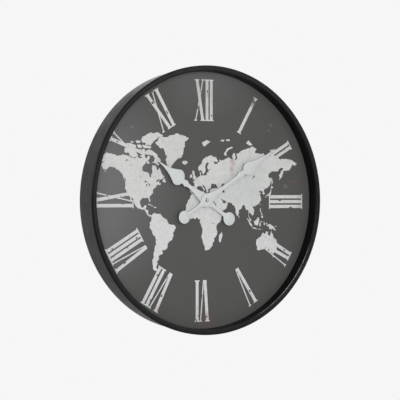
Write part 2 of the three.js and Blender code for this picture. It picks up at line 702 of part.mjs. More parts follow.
const coverBlank = join(
  plate(coverShape, coverFront, coverBack, 3), cut(ribOuter, ribInner), ...bosses, settingBoss,
);
addPiece(body, "movement_cover", caseBlack, cut(coverBlank, ...coverPivots, settingHole));

// Fixing through the board
const rubberRing = ring(boardHole, RUBBER_RADIUS, dialBack, movementFront, TURNED_SIDES);
addPiece(body, "rubber_washer", rubberBlack, rubberRing);
const steelRing = ring(boardHole, WASHER_RADIUS, washerFront, dialFace, TURNED_SIDES);
addPiece(body, "dial_washer", zincSteel, steelRing);
const nutBlank = bar(NUT_ACROSS_FLATS / Math.sqrt(3), nutFront, washerFront, 0, 0, 6);
const nutHole = bar(BUSH_RADIUS + RUNNING_GAP, nutFront - FIT, washerFront + FIT, 0, 0, TURNED_SIDES);
addPiece(body, "dial_nut", brass, cut(nutBlank, nutHole));

// Stepping motor: the stator plate on its posts, the core across its ends and the coil on the core
const statorLeft = rotor.x - STATOR_HALF_WIDTH;
const statorRight = Math.max(rotor.x + STATOR_HALF_WIDTH, coreRight);
const statorLow = rotor.z - STATOR_BELOW_ROTOR;
const statorHigh = coilHeight + STATOR_PAST_COIL;
const statorShape = new THREE.Shape();
statorShape.moveTo(statorLeft, statorLow);
statorShape.lineTo(statorRight, statorLow);
statorShape.lineTo(statorRight, statorHigh);
statorShape.lineTo(coreRight - STATOR_ARM, statorHigh);
statorShape.lineTo(coreRight - STATOR_ARM, yokeHigh);
statorShape.lineTo(coreLeft + STATOR_ARM, yokeHigh);
statorShape.lineTo(coreLeft + STATOR_ARM, statorHigh);
statorShape.lineTo(coreLeft, statorHigh);
statorShape.lineTo(coreLeft, yokeLow);
statorShape.lineTo(statorLeft, yokeLow);
statorShape.holes.push(circlePath(rotor.x, rotor.z, MAGNET_RADIUS + STATOR_GAP));
addPiece(body, "stator", zincSteel, plate(statorShape, statorFront, statorBack, 10));
const coreMiddle = statorBack + STATOR_THICKNESS / 2;
const coreBack = statorBack + STATOR_THICKNESS;
const coreLow = coilHeight - CORE_HALF_HEIGHT;
const coreHigh = coilHeight + CORE_HALF_HEIGHT;
addPiece(body, "coil_core", zincSteel, block(coreLeft, coreRight, statorBack, coreBack, coreLow, coreHigh));
function coilBlock(left, right, half) {
  return block(left, right, coreMiddle - half, coreMiddle + half, coilHeight - half, coilHeight + half);
}
const coreHole = block(
  COIL_LEFT - FIT, COIL_RIGHT + FIT, statorBack - CORE_GAP, coreBack + CORE_GAP,
  coreLow - CORE_GAP, coreHigh + CORE_GAP,
);
const spool = join(
  coilBlock(COIL_LEFT, COIL_LEFT + COIL_FLANGE, FLANGE_HALF_HEIGHT),
  coilBlock(COIL_LEFT + COIL_FLANGE / 2, COIL_RIGHT - COIL_FLANGE / 2, BARREL_HALF_HEIGHT),
  coilBlock(COIL_RIGHT - COIL_FLANGE, COIL_RIGHT, FLANGE_HALF_HEIGHT),
);
addPiece(body, "coil_bobbin", caseBlack, cut(spool, coreHole));
const windingLeft = COIL_LEFT + COIL_FLANGE + PRESS_GAP;
const windingRight = COIL_RIGHT - COIL_FLANGE - PRESS_GAP;
const windingShape = roundedRectangle(
  coilHeight - WINDING_HALF_HEIGHT, coilHeight + WINDING_HALF_HEIGHT,
  coreMiddle - WINDING_HALF_HEIGHT, coreMiddle + WINDING_HALF_HEIGHT, WINDING_CORNER,
);
const windingMiddle = (windingLeft + windingRight) / 2;
const winding = strip(windingShape, windingRight - windingLeft).translate(windingMiddle, 0, 0);
const windingHole = coilBlock(windingLeft - FIT, windingRight + FIT, BARREL_HALF_HEIGHT + PRESS_GAP);
addPiece(body, "coil_winding", copper, cut(winding, windingHole));

// Circuit on the floor of the wheel bay
const circuitEdge = -hourTip - BOARD_TO_WHEEL;
const circuitShape = new THREE.Shape();
circuitShape.moveTo(-bayHalfWidth + FIT, dividerHigh + FIT);
circuitShape.lineTo(bayHalfWidth - FIT, dividerHigh + FIT);
circuitShape.lineTo(bayHalfWidth - FIT, dividerHigh + BOARD_STRIP);
circuitShape.lineTo(circuitEdge, dividerHigh + BOARD_STRIP);
circuitShape.lineTo(circuitEdge, BOARD_ABOVE_AXIS);
circuitShape.lineTo(-bayHalfWidth + FIT, BOARD_ABOVE_AXIS);
addPiece(body, "circuit_board", boardGreen, plate(circuitShape, floorBack, boardBack));
const crystal = new THREE.CylinderGeometry(CRYSTAL_RADIUS, CRYSTAL_RADIUS, CRYSTAL_LENGTH, ARBOR_SIDES);
crystal.rotateX(Math.PI / 2);
crystal.translate(-bayHalfWidth + CRYSTAL_FROM_WALL, boardBack + CRYSTAL_RADIUS, -CRYSTAL_BELOW_AXIS);
addPiece(body, "quartz_crystal", zincSteel, toSolid(crystal));
const chipOutline = [
  [0, boardBack],
  [CHIP_RADIUS, boardBack],
  [CHIP_CROWN_RADIUS, boardBack + CHIP_HEIGHT],
  [0, boardBack + CHIP_HEIGHT],
];
const chip = revolve(chipOutline, ARBOR_SIDES).translate(circuitEdge - CHIP_FROM_EDGE, 0, -CHIP_BELOW_AXIS);
addPiece(body, "circuit_chip", caseBlack, chip);

// Battery across the lower bay, its cap to the right, and the leaf contacts at its ends
const cellDepth = floorBack + CELL_FLOOR_GAP + CELL_RADIUS;
const cellHeight = (cellBayLow + dividerLow) / 2;
const cellCapEnd = bayHalfWidth - CONTACT_SHEET - FIT;
const cellCanEnd = cellCapEnd - CELL_CAP_LENGTH;
const cellBase = cellCanEnd - CELL_LENGTH;
const cellOutline = [
  [0, cellBase],
  [CELL_RADIUS - CELL_EDGE, cellBase],
  [CELL_RADIUS, cellBase + CELL_EDGE],
  [CELL_RADIUS, cellCanEnd - CELL_EDGE],
  [CELL_RADIUS - CELL_EDGE, cellCanEnd],
  [CELL_CAP_RADIUS, cellCanEnd],
  [CELL_CAP_RADIUS, cellCapEnd],
  [0, cellCapEnd],
];
const cellPoints = cellOutline.map(([radius, along]) => new THREE.Vector2(radius, along));
const cell = new THREE.LatheGeometry(cellPoints, TURNED_SIDES);
cell.rotateZ(-Math.PI / 2);
cell.translate(0, cellDepth, cellHeight);
addPiece(body, "battery", cellSleeve, toSolid(cell));
const contactLow = cellHeight - CONTACT_WIDTH / 2;
const contactHigh = cellHeight + CONTACT_WIDTH / 2;
const contactFront = boardBack;
const contactBack = cellDepth + CONTACT_HALF_DEPTH;
const tailBack = boardBack + CONTACT_SHEET;
const tailLow = contactHigh - TAIL_LAP;
const tailHigh = dividerHigh + TAIL_ON_BOARD;
const plusLeaf = block(
  bayHalfWidth - CONTACT_SHEET, bayHalfWidth, contactFront, contactBack, contactLow, contactHigh,
);
const plusTail = block(
  bayHalfWidth - CONTACT_TAIL_WIDTH, bayHalfWidth - TAIL_GAP, contactFront, tailBack, tailLow, tailHigh,
);
addPiece(body, "battery_contact_plus", zincSteel, join(plusLeaf, plusTail));
const springShape = new THREE.Shape();
const springReach = cellBase - FIT;
springShape.moveTo(-bayHalfWidth, contactFront);
springShape.lineTo(-bayHalfWidth + CONTACT_SHEET, contactFront);
springShape.lineTo(-bayHalfWidth + CONTACT_SHEET, cellDepth - CONTACT_HALF_DEPTH);
springShape.lineTo(springReach, cellDepth);
springShape.lineTo(-bayHalfWidth + CONTACT_SHEET, contactBack);
springShape.lineTo(-bayHalfWidth, contactBack);
springShape.lineTo(springReach - CONTACT_SHEET, cellDepth);
springShape.lineTo(-bayHalfWidth, cellDepth - CONTACT_HALF_DEPTH);
const springSettings = { depth: CONTACT_WIDTH, bevelEnabled: false, steps: 1 };
const spring = new THREE.ExtrudeGeometry(springShape, springSettings);
spring.translate(0, 0, contactLow);
const minusTail = block(
  -bayHalfWidth + TAIL_GAP, -bayHalfWidth + CONTACT_TAIL_WIDTH, contactFront, tailBack, tailLow, tailHigh,
);
addPiece(body, "battery_contact_minus", zincSteel, join(toSolid(spring), minusTail));

// Going train, from the centre wheel back to the rotor
const cannonFront = movementFront + minuteLayer - PINION_OVERHANG;
const cannonBack = movementFront + minuteLayer + WHEEL_THICKNESS + PINION_OVERHANG;
const centreBack = movementFront + centreLayer + WHEEL_THICKNESS;
const secondsPinionFront = movementFront + thirdLayer - PINION_OVERHANG;

const minuteStation = turnedGroup(body, MINUTE_ANGLE);
const minuteShaft = join(
  bar(MINUTE_SHAFT_RADIUS, minuteShaftFront, cannonFront + FIT, 0, 0, TURNED_SIDES),
  pinion(CANNON_LEAVES, cannonModule, minuteLayer),
  bar(WHEEL_SEAT_RADIUS, cannonBack - FIT, centreBack, 0, 0, TURNED_SIDES),
);
const shaftBore = bar(PIVOT_RADIUS + RUNNING_GAP, cannonFront, centreBack + FIT);
addPiece(minuteStation, "minute_arbor", zincSteel, cut(minuteShaft, shaftBore));
const centreHole = bar(
  WHEEL_SEAT_RADIUS + PRESS_GAP, cannonBack, centreBack + FIT, 0, 0, TURNED_SIDES,
);
const centreSolid = cut(wheel(CENTRE_TEETH, CENTRE_MODULE, centreLayer), centreHole);
addPiece(minuteStation, "centre_wheel", wheelWhite, centreSolid);

const thirdAngle = meshAngle(MINUTE_ANGLE, CENTRE_TEETH, THIRD_LEAVES, THIRD_BEARING);
const thirdStation = turnedGroup(body, thirdAngle, third.x, third.z);
const pivots = bar(PIVOT_RADIUS, pivotFront, pivotBack);
const trainArbor = join(pivots, bar(ARBOR_RADIUS, floorBack + FIT, bossFront - FIT));
const thirdSolid = join(
  trainArbor,
  pinion(THIRD_LEAVES, CENTRE_MODULE, centreLayer),
  wheel(THIRD_TEETH, thirdModule, thirdLayer),
);
addPiece(thirdStation, "third_wheel", wheelWhite, thirdSolid);

const secondsAngle = meshAngle(thirdAngle, THIRD_TEETH, SECONDS_LEAVES, THIRD_BEARING + Math.PI);
const secondsStation = turnedGroup(body, secondsAngle);
const secondsSolid = join(
  bar(PIVOT_RADIUS, cannonFront + FIT, pivotBack),
  bar(ARBOR_RADIUS, secondsPinionFront, bossFront - FIT),
  pinion(SECONDS_LEAVES, thirdModule, thirdLayer),
  wheel(SECONDS_TEETH, secondsModule, secondsLayer),
);
addPiece(secondsStation, "seconds_wheel", wheelWhite, secondsSolid);

const fifthAngle = meshAngle(secondsAngle, SECONDS_TEETH, FIFTH_LEAVES, FIFTH_BEARING);
const fifthStation = turnedGroup(body, fifthAngle, fifth.x, fifth.z);
const fifthSolid = join(
  trainArbor,
  pinion(FIFTH_LEAVES, secondsModule, secondsLayer),
  wheel(FIFTH_TEETH, FIFTH_MODULE, fifthLayer),
);
addPiece(fifthStation, "fifth_wheel", wheelWhite, fifthSolid);

const rotorAngle = meshAngle(fifthAngle, FIFTH_TEETH, ROTOR_LEAVES, ROTOR_BEARING);
const rotorStation = turnedGroup(body, rotorAngle, rotor.x, rotor.z);
const magnetFront = (statorFront + statorBack - MAGNET_HEIGHT) / 2;
const magnetBack = magnetFront + MAGNET_HEIGHT;
const rotorSolid = join(
  trainArbor,
  bar(MAGNET_SEAT_RADIUS, magnetBack, magnetBack + WHEEL_THICKNESS),
  pinion(ROTOR_LEAVES, FIFTH_MODULE, fifthLayer),
);
addPiece(rotorStation, "rotor_pinion", wheelWhite, rotorSolid);
const magnetHole = ARBOR_RADIUS + PRESS_GAP;
const magnetRing = ring(magnetHole, MAGNET_RADIUS, magnetFront, magnetBack, TURNED_SIDES);
addPiece(rotorStation, "rotor_magnet", ferrite, magnetRing);

// Motion work, from the cannon pinion to the hour wheel, with the knob on the minute wheel's arbor
const minuteWheelAngle = meshAngle(MINUTE_ANGLE, CANNON_LEAVES, MINUTE_TEETH, MINUTE_BEARING);
const settingStation = turnedGroup(body, minuteWheelAngle, minute.x, minute.z);
const knobFront = coverBack + KNOB_GAP;
const knobBack = knobFront + KNOB_HEIGHT;
const settingArborBack = knobBack - KNOB_FACE;
const minuteWheelSolid = join(
  bar(SETTING_ARBOR_RADIUS, pivotFront, settingArborBack),
  pinion(MINUTE_LEAVES, hourModule, hourLayer),
  wheel(MINUTE_TEETH, cannonModule, minuteLayer),
);
addPiece(settingStation, "minute_wheel", wheelWhite, minuteWheelSolid);
const knobPoints = [];
for (let ridge = 0; ridge < KNOB_RIDGES; ridge += 1) {
  const start = (2 * Math.PI * ridge) / KNOB_RIDGES;
  const half = Math.PI / KNOB_RIDGES;
  const low = KNOB_RADIUS - KNOB_RIDGE_DEPTH;
  knobPoints.push(new THREE.Vector2(KNOB_RADIUS * Math.cos(start), KNOB_RADIUS * Math.sin(start)));
  knobPoints.push(new THREE.Vector2(low * Math.cos(start + half), low * Math.sin(start + half)));
}
const knobHole = bar(SETTING_ARBOR_RADIUS + PRESS_GAP, knobFront - FIT, settingArborBack + PRESS_GAP);
const knobBlank = plate(new THREE.Shape(knobPoints), knobFront, knobBack);
addPiece(settingStation, "setting_knob", caseBlack, cut(knobBlank, knobHole));

const hourAngle = meshAngle(minuteWheelAngle, MINUTE_LEAVES, HOUR_TEETH, MINUTE_BEARING + Math.PI);
const hourWheelStation = turnedGroup(body, hourAngle);
const hourWheelBack = movementFront + hourLayer + WHEEL_THICKNESS;
const hourPipe = bar(HOUR_PIPE_RADIUS, hourPipeFront, hourWheelBack, 0, 0, TURNED_SIDES);
const hourBore = bar(
  MINUTE_SHAFT_RADIUS + RUNNING_GAP, hourPipeFront - FIT, hourWheelBack + FIT, 0, 0, TURNED_SIDES,
);
const hourWheelSolid = cut(join(wheel(HOUR_TEETH, hourModule, hourLayer), hourPipe), hourBore);
addPiece(hourWheelStation, "hour_wheel", brass, hourWheelSolid);

// Hands: a spade blade over a small collar, a round hub, and a disc on an arm as the counterweight
function handOutline(hand, holeRadius) {
  const discEdge = hand.armHalf + DISC_FLARE;
  const discTop = Math.sqrt(hand.tailDiscRadius ** 2 - discEdge ** 2) - hand.tailReach;
  const discAngle = Math.atan2(discTop + hand.tailReach, discEdge);
  const half = new THREE.Path();
  half.absarc(0, -hand.tailReach, hand.tailDiscRadius, -Math.PI / 2, discAngle);
  half.quadraticCurveTo(
    hand.armHalf, discTop + DISC_FLARE_PULL, hand.armHalf, discTop + DISC_FLARE_LENGTH,
  );
  half.lineTo(hand.armHalf, -HUB_RADIUS - TAIL_FLARE_LENGTH);
  half.quadraticCurveTo(
    hand.armHalf, -HUB_RADIUS - TAIL_FLARE_PULL,
    HUB_RADIUS * Math.cos(TAIL_ANGLE), HUB_RADIUS * Math.sin(TAIL_ANGLE),
  );
  half.absarc(0, 0, HUB_RADIUS, TAIL_ANGLE, NECK_ANGLE);
  half.quadraticCurveTo(
    hand.neckHalf + NECK_FLARE_SPREAD, HUB_RADIUS + NECK_FLARE_PULL,
    hand.neckHalf, HUB_RADIUS + NECK_FLARE_LENGTH,
  );
  half.lineTo(hand.neckHalf, hand.neckReach);
  half.quadraticCurveTo(
    hand.neckHalf, hand.collarReach - COLLAR_ROUND, hand.collarHalf, hand.collarReach,
  );
  half.quadraticCurveTo(
    hand.notchHalf, hand.collarReach + COLLAR_ROUND, hand.notchHalf, hand.notchReach,
  );
  half.bezierCurveTo(
    hand.lobeHalf * SHOULDER_SHARE, hand.notchReach + SHOULDER_LIFT,
    hand.lobeHalf, hand.lobeReach - SHOULDER_RISE, hand.lobeHalf, hand.lobeReach,
  );
  half.bezierCurveTo(
    hand.lobeHalf, hand.lobeReach + hand.lobeRise, hand.taperHalf, hand.taperReach, hand.tipHalf, hand.length,
  );
  const outline = mirrored(half, 4);
  outline.holes.push(circlePath(0, 0, holeRadius));
  return outline;
}

// A bush is a flange behind the hand and a collar through it
function handBush(bore, collar, flange, front, handBack, back) {
  const outline = [
    [bore, front], [collar, front], [collar, handBack], [flange, handBack], [flange, back], [bore, back],
  ];
  return revolve(outline, TURNED_SIDES);
}

const hourStation = turnedGroup(body, HOUR_ANGLE);
const hourOutline = handOutline(HOUR_HAND, HOUR_COLLAR_RADIUS + PRESS_GAP);
addPiece(hourStation, "hour_hand", handPaint, plate(hourOutline, hourHandFront, hourHandBack, 10));
const hourBush = handBush(
  HOUR_PIPE_RADIUS + PRESS_GAP, HOUR_COLLAR_RADIUS, HOUR_BUSH_RADIUS,
  hourHandFront, hourHandBack, hourBushBack,
);
addPiece(hourStation, "hour_hand_bush", brass, hourBush);

const minuteOutline = handOutline(MINUTE_HAND, MINUTE_COLLAR_RADIUS + PRESS_GAP);
addPiece(minuteStation, "minute_hand", handPaint, plate(minuteOutline, minuteHandFront, minuteHandBack, 10));
const minuteBush = handBush(
  MINUTE_SHAFT_RADIUS + PRESS_GAP, MINUTE_COLLAR_RADIUS, MINUTE_BUSH_RADIUS,
  minuteHandFront, minuteHandBack, minuteBushBack,
);
addPiece(minuteStation, "minute_hand_bush", brass, minuteBush);

// Cap nut on the end of the minute shaft
const capOutline = [
  [0, minuteShaftFront - FIT],
  [MINUTE_SHAFT_RADIUS + PRESS_GAP, minuteShaftFront - FIT],
  [MINUTE_SHAFT_RADIUS + PRESS_GAP, minuteHandFront],
  [CAP_NUT_RADIUS, minuteHandFront],
  [CAP_NUT_RADIUS, minuteHandFront - CAP_NUT_EDGE],
  [CAP_NUT_SHOULDER_RADIUS, capFront + CAP_NUT_SHOULDER],
  [CAP_NUT_CROWN_RADIUS, capFront],
  [0, capFront],
];
addPiece(minuteStation, "hand_cap_nut", brass, revolve(capOutline, TURNED_SIDES));

// The bearing point of the slot becomes the origin
body.position.set(0, -hangerBack, -slotTop);

export default clock;
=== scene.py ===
"""Finish of a round wall clock with a world map on its dial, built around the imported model."""
import math
import random

import bmesh
import bpy
from mathutils import Matrix, Vector
from mathutils.geometry import delaunay_2d_cdt


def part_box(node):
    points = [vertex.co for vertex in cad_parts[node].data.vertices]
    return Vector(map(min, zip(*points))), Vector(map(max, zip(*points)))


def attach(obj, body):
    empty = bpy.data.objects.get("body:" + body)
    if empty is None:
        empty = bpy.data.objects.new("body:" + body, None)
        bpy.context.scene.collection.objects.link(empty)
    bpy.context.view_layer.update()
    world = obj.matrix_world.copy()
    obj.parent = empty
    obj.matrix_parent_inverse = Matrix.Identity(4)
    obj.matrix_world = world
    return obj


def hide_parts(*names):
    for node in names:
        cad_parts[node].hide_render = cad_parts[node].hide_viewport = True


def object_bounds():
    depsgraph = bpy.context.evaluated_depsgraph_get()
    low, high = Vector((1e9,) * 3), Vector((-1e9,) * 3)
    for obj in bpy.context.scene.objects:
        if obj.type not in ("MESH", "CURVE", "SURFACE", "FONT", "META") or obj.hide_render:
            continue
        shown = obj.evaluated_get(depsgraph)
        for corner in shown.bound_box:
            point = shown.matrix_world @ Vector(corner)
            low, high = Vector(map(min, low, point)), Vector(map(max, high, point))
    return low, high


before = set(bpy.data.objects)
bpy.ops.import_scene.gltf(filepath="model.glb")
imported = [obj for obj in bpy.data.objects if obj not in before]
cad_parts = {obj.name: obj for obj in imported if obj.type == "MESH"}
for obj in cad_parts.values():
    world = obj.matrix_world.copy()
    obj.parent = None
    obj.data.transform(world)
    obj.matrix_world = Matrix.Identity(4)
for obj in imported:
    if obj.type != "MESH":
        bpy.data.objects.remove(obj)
cad_low, cad_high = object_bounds()

# Sizes on the drawing are in millimetres. On the clock face x runs to the right and z up from the
# dial axis, and depth runs from the front plane of the clock towards the wall.
MM = 0.001
FRONT = cad_low.y
AXIS = (cad_low.z + cad_high.z) / 2
TURN = 2 * math.pi


def place(x, depth, z):
    """A point of the drawing, in metres in the frame of the model."""
    return Vector((x * MM, FRONT + depth * MM, AXIS + z * MM))


def depths(node):
    """The front and rear depth of a node of the model, in millimetres."""
    low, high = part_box(node)
    return (low.y - FRONT) / MM, (high.y - FRONT) / MM


CENTRE = place(0.0, 0.0, 0.0)
DIAL_FACE = depths("dial_board")[0]


def arc(centre, radius, start, end, steps):
    """Points on an arc between two angles in degrees."""
    points = []
    for step in range(steps + 1):
        angle = math.radians(start + (end - start) * step / steps)
        points.append((centre[0] + radius * math.cos(angle), centre[1] + radius * math.sin(angle)))
    return points


def circle(radius, count):
    """Points of a whole circle round the dial axis."""
    return arc((0.0, 0.0), radius, 0, 360 - 360 / count, count - 1)


def curve(controls, steps):
    """Points on a smooth curve drawn towards its controls, without its first point."""
    points = []
    for step in range(1, steps + 1):
        level = [Vector(control) for control in controls]
        while len(level) > 1:
            level = [first.lerp(second, step / steps) for first, second in zip(level, level[1:])]
        points.append(tuple(level[0]))
    return points


def spun(across, up, angle):
    """A point of the clock face, turned clockwise about the dial axis by an angle in radians."""
    return (
        across * math.cos(angle) + up * math.sin(angle),
        up * math.cos(angle) - across * math.sin(angle),
    )


# Finishes

EVEN = (1.0, 1.0, 1.0)
# The range in which most of a soft noise lies.
NOISE_LOW = 0.3
NOISE_HIGH = 0.7
# Sockets of a colour mix, which share their names with those for numbers and vectors.
MIX_FIRST = 6
MIX_SECOND = 7
MIX_RESULT = 2


def grey(level):
    """A neutral colour."""
    return (level, level, level)


def shade(colour):
    """A colour with full opacity."""
    return (*colour, 1.0)


class Finish:
    """One procedural material, with short names for the nodes that it is made of."""

    def __init__(self, name, colour, roughness, metallic=0.0, gloss=0.5):
        self.material = bpy.data.materials.new(name)
        self.material.use_nodes = True
        self.tree = self.material.node_tree
        self.shader = self.tree.nodes["Principled BSDF"]
        self.shader.inputs["Base Color"].default_value = shade(colour)
        self.shader.inputs["Roughness"].default_value = roughness
        self.shader.inputs["Metallic"].default_value = metallic
        self.shader.inputs["Specular IOR Level"].default_value = gloss
        self.spot = self.add("ShaderNodeTexCoord").outputs["Object"]

    def add(self, kind, **settings):
        """A new node with its settings."""
        made = self.tree.nodes.new(kind)
        for name, value in settings.items():
            setattr(made, name, value)
        return made

    def join(self, value, socket):
        """Links a socket, or sets a value, into another socket."""
        if isinstance(value, bpy.types.NodeSocket):
            self.tree.links.new(value, socket)
        else:
            socket.default_value = value

    def noise(self, scale, detail=3.0, stretch=EVEN):
        """Soft noise, drawn out along the axes with a small stretch."""
        mapping = self.add("ShaderNodeMapping")
        self.join(self.spot, mapping.inputs["Vector"])
        self.join(stretch, mapping.inputs["Scale"])
        texture = self.add("ShaderNodeTexNoise")
        self.join(mapping.outputs["Vector"], texture.inputs["Vector"])
        self.join(scale, texture.inputs["Scale"])
        self.join(detail, texture.inputs["Detail"])
        return texture.outputs[0]

    def cells(self, scale):
        """Cells that each have a colour of their own."""
        texture = self.add("ShaderNodeTexVoronoi")
        self.join(self.spot, texture.inputs["Vector"])
        self.join(scale, texture.inputs["Scale"])
        return texture.outputs["Color"]

    def veins(self, scale, sway):
        """How near a point lies to the lines between uneven cells."""
        drawn = self.add("ShaderNodeTexNoise")
        self.join(self.spot, drawn.inputs["Vector"])
        self.join(scale, drawn.inputs["Scale"])
        aside = self.add("ShaderNodeVectorMath", operation="SCALE")
        self.join(drawn.outputs["Color"], aside.inputs[0])
        self.join(sway * MM, aside.inputs["Scale"])
        moved = self.add("ShaderNodeVectorMath", operation="ADD")
        self.join(self.spot, moved.inputs[0])
        self.join(aside.outputs[0], moved.inputs[1])
        texture = self.add("ShaderNodeTexVoronoi", feature="DISTANCE_TO_EDGE")
        self.join(moved.outputs[0], texture.inputs["Vector"])
        self.join(scale, texture.inputs["Scale"])
        return texture.outputs["Distance"]

    def bands(self, scale, direction):
        """Even bands across a direction."""
        texture = self.add("ShaderNodeTexWave", bands_direction=direction)
        self.join(self.spot, texture.inputs["Vector"])
        self.join(scale, texture.inputs["Scale"])
        return texture.outputs["Fac"]

    def along(self, axis):
        """The place along one axis, in metres."""
        parts = self.add("ShaderNodeSeparateXYZ")
        self.join(self.spot, parts.inputs[0])
        return parts.outputs[axis]

    def span(self, value, low, high, first=0.0, last=1.0):
        """A value carried from one range to another, and held at its ends."""
        ranged = self.add("ShaderNodeMapRange")
        for name, number in (("From Min", low), ("From Max", high), ("To Min", first), ("To Max", last)):
            self.join(number, ranged.inputs[name])
        self.join(value, ranged.inputs["Value"])
        return ranged.outputs["Result"]

    def maths(self, operation, first, second):
        """The result of a sum on two values."""
        made = self.add("ShaderNodeMath", operation=operation)
        self.join(first, made.inputs[0])
        self.join(second, made.inputs[1])
        return made.outputs[0]

    def near(self, centre, radius):
        """1 at a centre, falling to 0 at a radius in millimetres."""
        reach = self.add("ShaderNodeVectorMath", operation="DISTANCE")
        self.join(self.spot, reach.inputs[0])
        self.join(centre, reach.inputs[1])
        return self.span(reach.outputs["Value"], 0.0, radius * MM, 1.0, 0.0)

    def patch(self, x, z, reach, low, high, share=1.0):
        """A soft round patch on the face of the dial."""
        return self.span(self.near(place(x, DIAL_FACE, z), reach), low, high, 0.0, share)

    def mix(self, share, first, second):
        """The first colour where the share is 0 and the second where it is 1."""
        made = self.add("ShaderNodeMix", data_type="RGBA")
        self.join(share, made.inputs[0])
        for colour, socket in ((first, made.inputs[MIX_FIRST]), (second, made.inputs[MIX_SECOND])):
            self.join(shade(colour) if isinstance(colour, tuple) else colour, socket)
        return made.outputs[MIX_RESULT]

    def tint(self, base, where, share, colour):
        """A base with another colour laid over it in some places, by a share."""
        return self.mix(self.maths("MULTIPLY", where, share), base, colour)

    def colour(self, value):
        """Sets the colour of the surface."""
        self.join(value, self.shader.inputs["Base Color"])

    def roughness(self, value):
        """Sets how rough the surface is."""
        self.join(value, self.shader.inputs["Roughness"])

    def uneven(self, pattern, smooth, rough):
        """Lets the roughness follow a noise between two values."""
        self.roughness(self.span(pattern, NOISE_LOW, NOISE_HIGH, smooth, rough))

    def relief(self, height, depth):
        """Sets a fine relief with a depth in millimetres."""
        bump = self.add("ShaderNodeBump")
        self.join(height, bump.inputs["Height"])
        self.join(depth * MM, bump.inputs["Distance"])
        self.join(bump.outputs["Normal"], self.shader.inputs["Normal"])


# Painted light on the grey of the dial: a lighter sheen towards the left, and lighter grey along the top
# edge against the lip's shade: place on the clock face and reach in millimetres, and share.
DIAL_PAINTED_SHEEN = ((-340.0, 25.0, 360.0, 1.0), (10.0, 330.0, 200.0, 0.45))
# Marks on the grey of the dial: place on the clock face and reach in millimetres, colour and share.
RUST = (0.2, 0.07, 0.042)
CHALK = (0.2, 0.196, 0.18)
DIAL_MARKS = (
    (236.0, 42.6, 3.6, RUST, 0.55), (242.0, 42.9, 4.0, RUST, 0.65), (248.5, 42.6, 4.0, RUST, 0.65),
    (257.0, 42.0, 3.2, RUST, 0.5), (6.0, -276.0, 34.0, RUST, 0.14), (221.0, 31.0, 8.0, CHALK, 0.4),
    (180.0, 171.0, 4.0, CHALK, 0.6), (174.0, 159.0, 4.0, CHALK, 0.5), (-185.0, 161.0, 4.5, CHALK, 0.7),
)
# Depths behind the face between which the print on the edge of the board gives way to unprinted board.
PRINT_END = (0.15, 0.25)
BARE_ROUGHNESS = 0.8

# Rusty stains on the print: place and reach.
MAP_STAINS = (
    (73.0, 90.0, 8.0), (75.5, 84.0, 9.0), (75.0, 77.0, 9.0), (74.5, 70.0, 8.5), (73.5, 63.0, 8.0),
    (72.0, 57.0, 6.0), (180.0, 42.0, 5.0),
)
NUMERAL_STAINS = (
    (-4.0, -262.0, 18.0), (-14.0, -240.0, 9.0), (8.0, -258.0, 12.0), (-122.0, -236.0, 13.0),
    (-8.0, 262.0, 13.0), (12.0, 236.0, 8.0), (262.0, 4.0, 11.0), (260.0, -14.0, 9.0),
    (122.0, -218.0, 10.0), (-128.0, 218.0, 9.0), (215.0, 118.0, 8.0),
)
# Duller places on the print: place, reach, colour and share.
DULL_PRINT = (
    (-140.0, 10.0, 130.0, (0.5, 0.488, 0.5), 0.12),
    (-70.0, 95.0, 70.0, (0.52, 0.53, 0.51), 0.6),
    (110.0, 30.0, 80.0, (0.51, 0.535, 0.53), 0.7),
    (130.0, 222.0, 15.0, (0.2, 0.2, 0.196), 0.85),
    (0.0, 232.0, 62.0, (0.44, 0.44, 0.43), 0.6),
)
# Heights between which the print goes from its southern to its northern tone.
PRINT_DRIFT = (-140.0, 40.0)

# Where a painted highlight runs along the lip's inner edge, as place on the face with its depth, and how
# far the painted highlight reaches.
HIGHLIGHT_PLACE = (216.0, 1.0, -200.0)
HIGHLIGHT_REACH = 118.0

# The pale band at the positive end of the cell's sleeve, and how softly it ends.
CELL_BAND = 11.0
CELL_BAND_EDGE = 0.2


def satin_black():
    """Satin black paint on sheet steel: fine orange peel, uneven gloss and a few dust specks."""
    finish = Finish("satin_black_paint", colour=(0.0036, 0.0036, 0.0037), roughness=0.4, gloss=0.157)
    deep = (0.0026, 0.0026, 0.0027)
    thin = (0.0046, 0.0046, 0.0047)
    paint = finish.mix(finish.noise(scale=14.0, detail=4.0), deep, thin)
    specks = finish.span(finish.noise(scale=900.0, detail=1.0), low=0.76, high=0.82)
    finish.colour(finish.mix(specks, paint, grey(0.03)))
    finish.uneven(finish.noise(scale=40.0), smooth=0.34, rough=0.44)
    finish.relief(finish.noise(scale=650.0, detail=2.0), depth=0.02)
    return finish.material


def highlight_edge_black():
    """The paint on the rolled edge of the lip, with a painted highlight as a pale line at the lower right.
    """
    paint = (0.0065, 0.0065, 0.0067)
    # This pale grey is a painted highlight along the lower right of the edge, broken up by noise.
    bare_board_and_highlight = (0.3, 0.3, 0.295)
    finish = Finish("black_edge_painted_highlight", colour=paint, roughness=0.34, gloss=0.2)
    # Painted highlight: strongest at its place, fading out over its reach.
    rubbed = finish.span(finish.near(place(*HIGHLIGHT_PLACE), HIGHLIGHT_REACH), low=0.0, high=0.45)
    breaks = finish.span(finish.noise(scale=30.0, detail=4.0), low=0.3, high=0.5)
    finish.colour(finish.tint(paint, rubbed, breaks, bare_board_and_highlight))
    finish.uneven(finish.noise(scale=90.0), smooth=0.28, rough=0.4)
    return finish.material


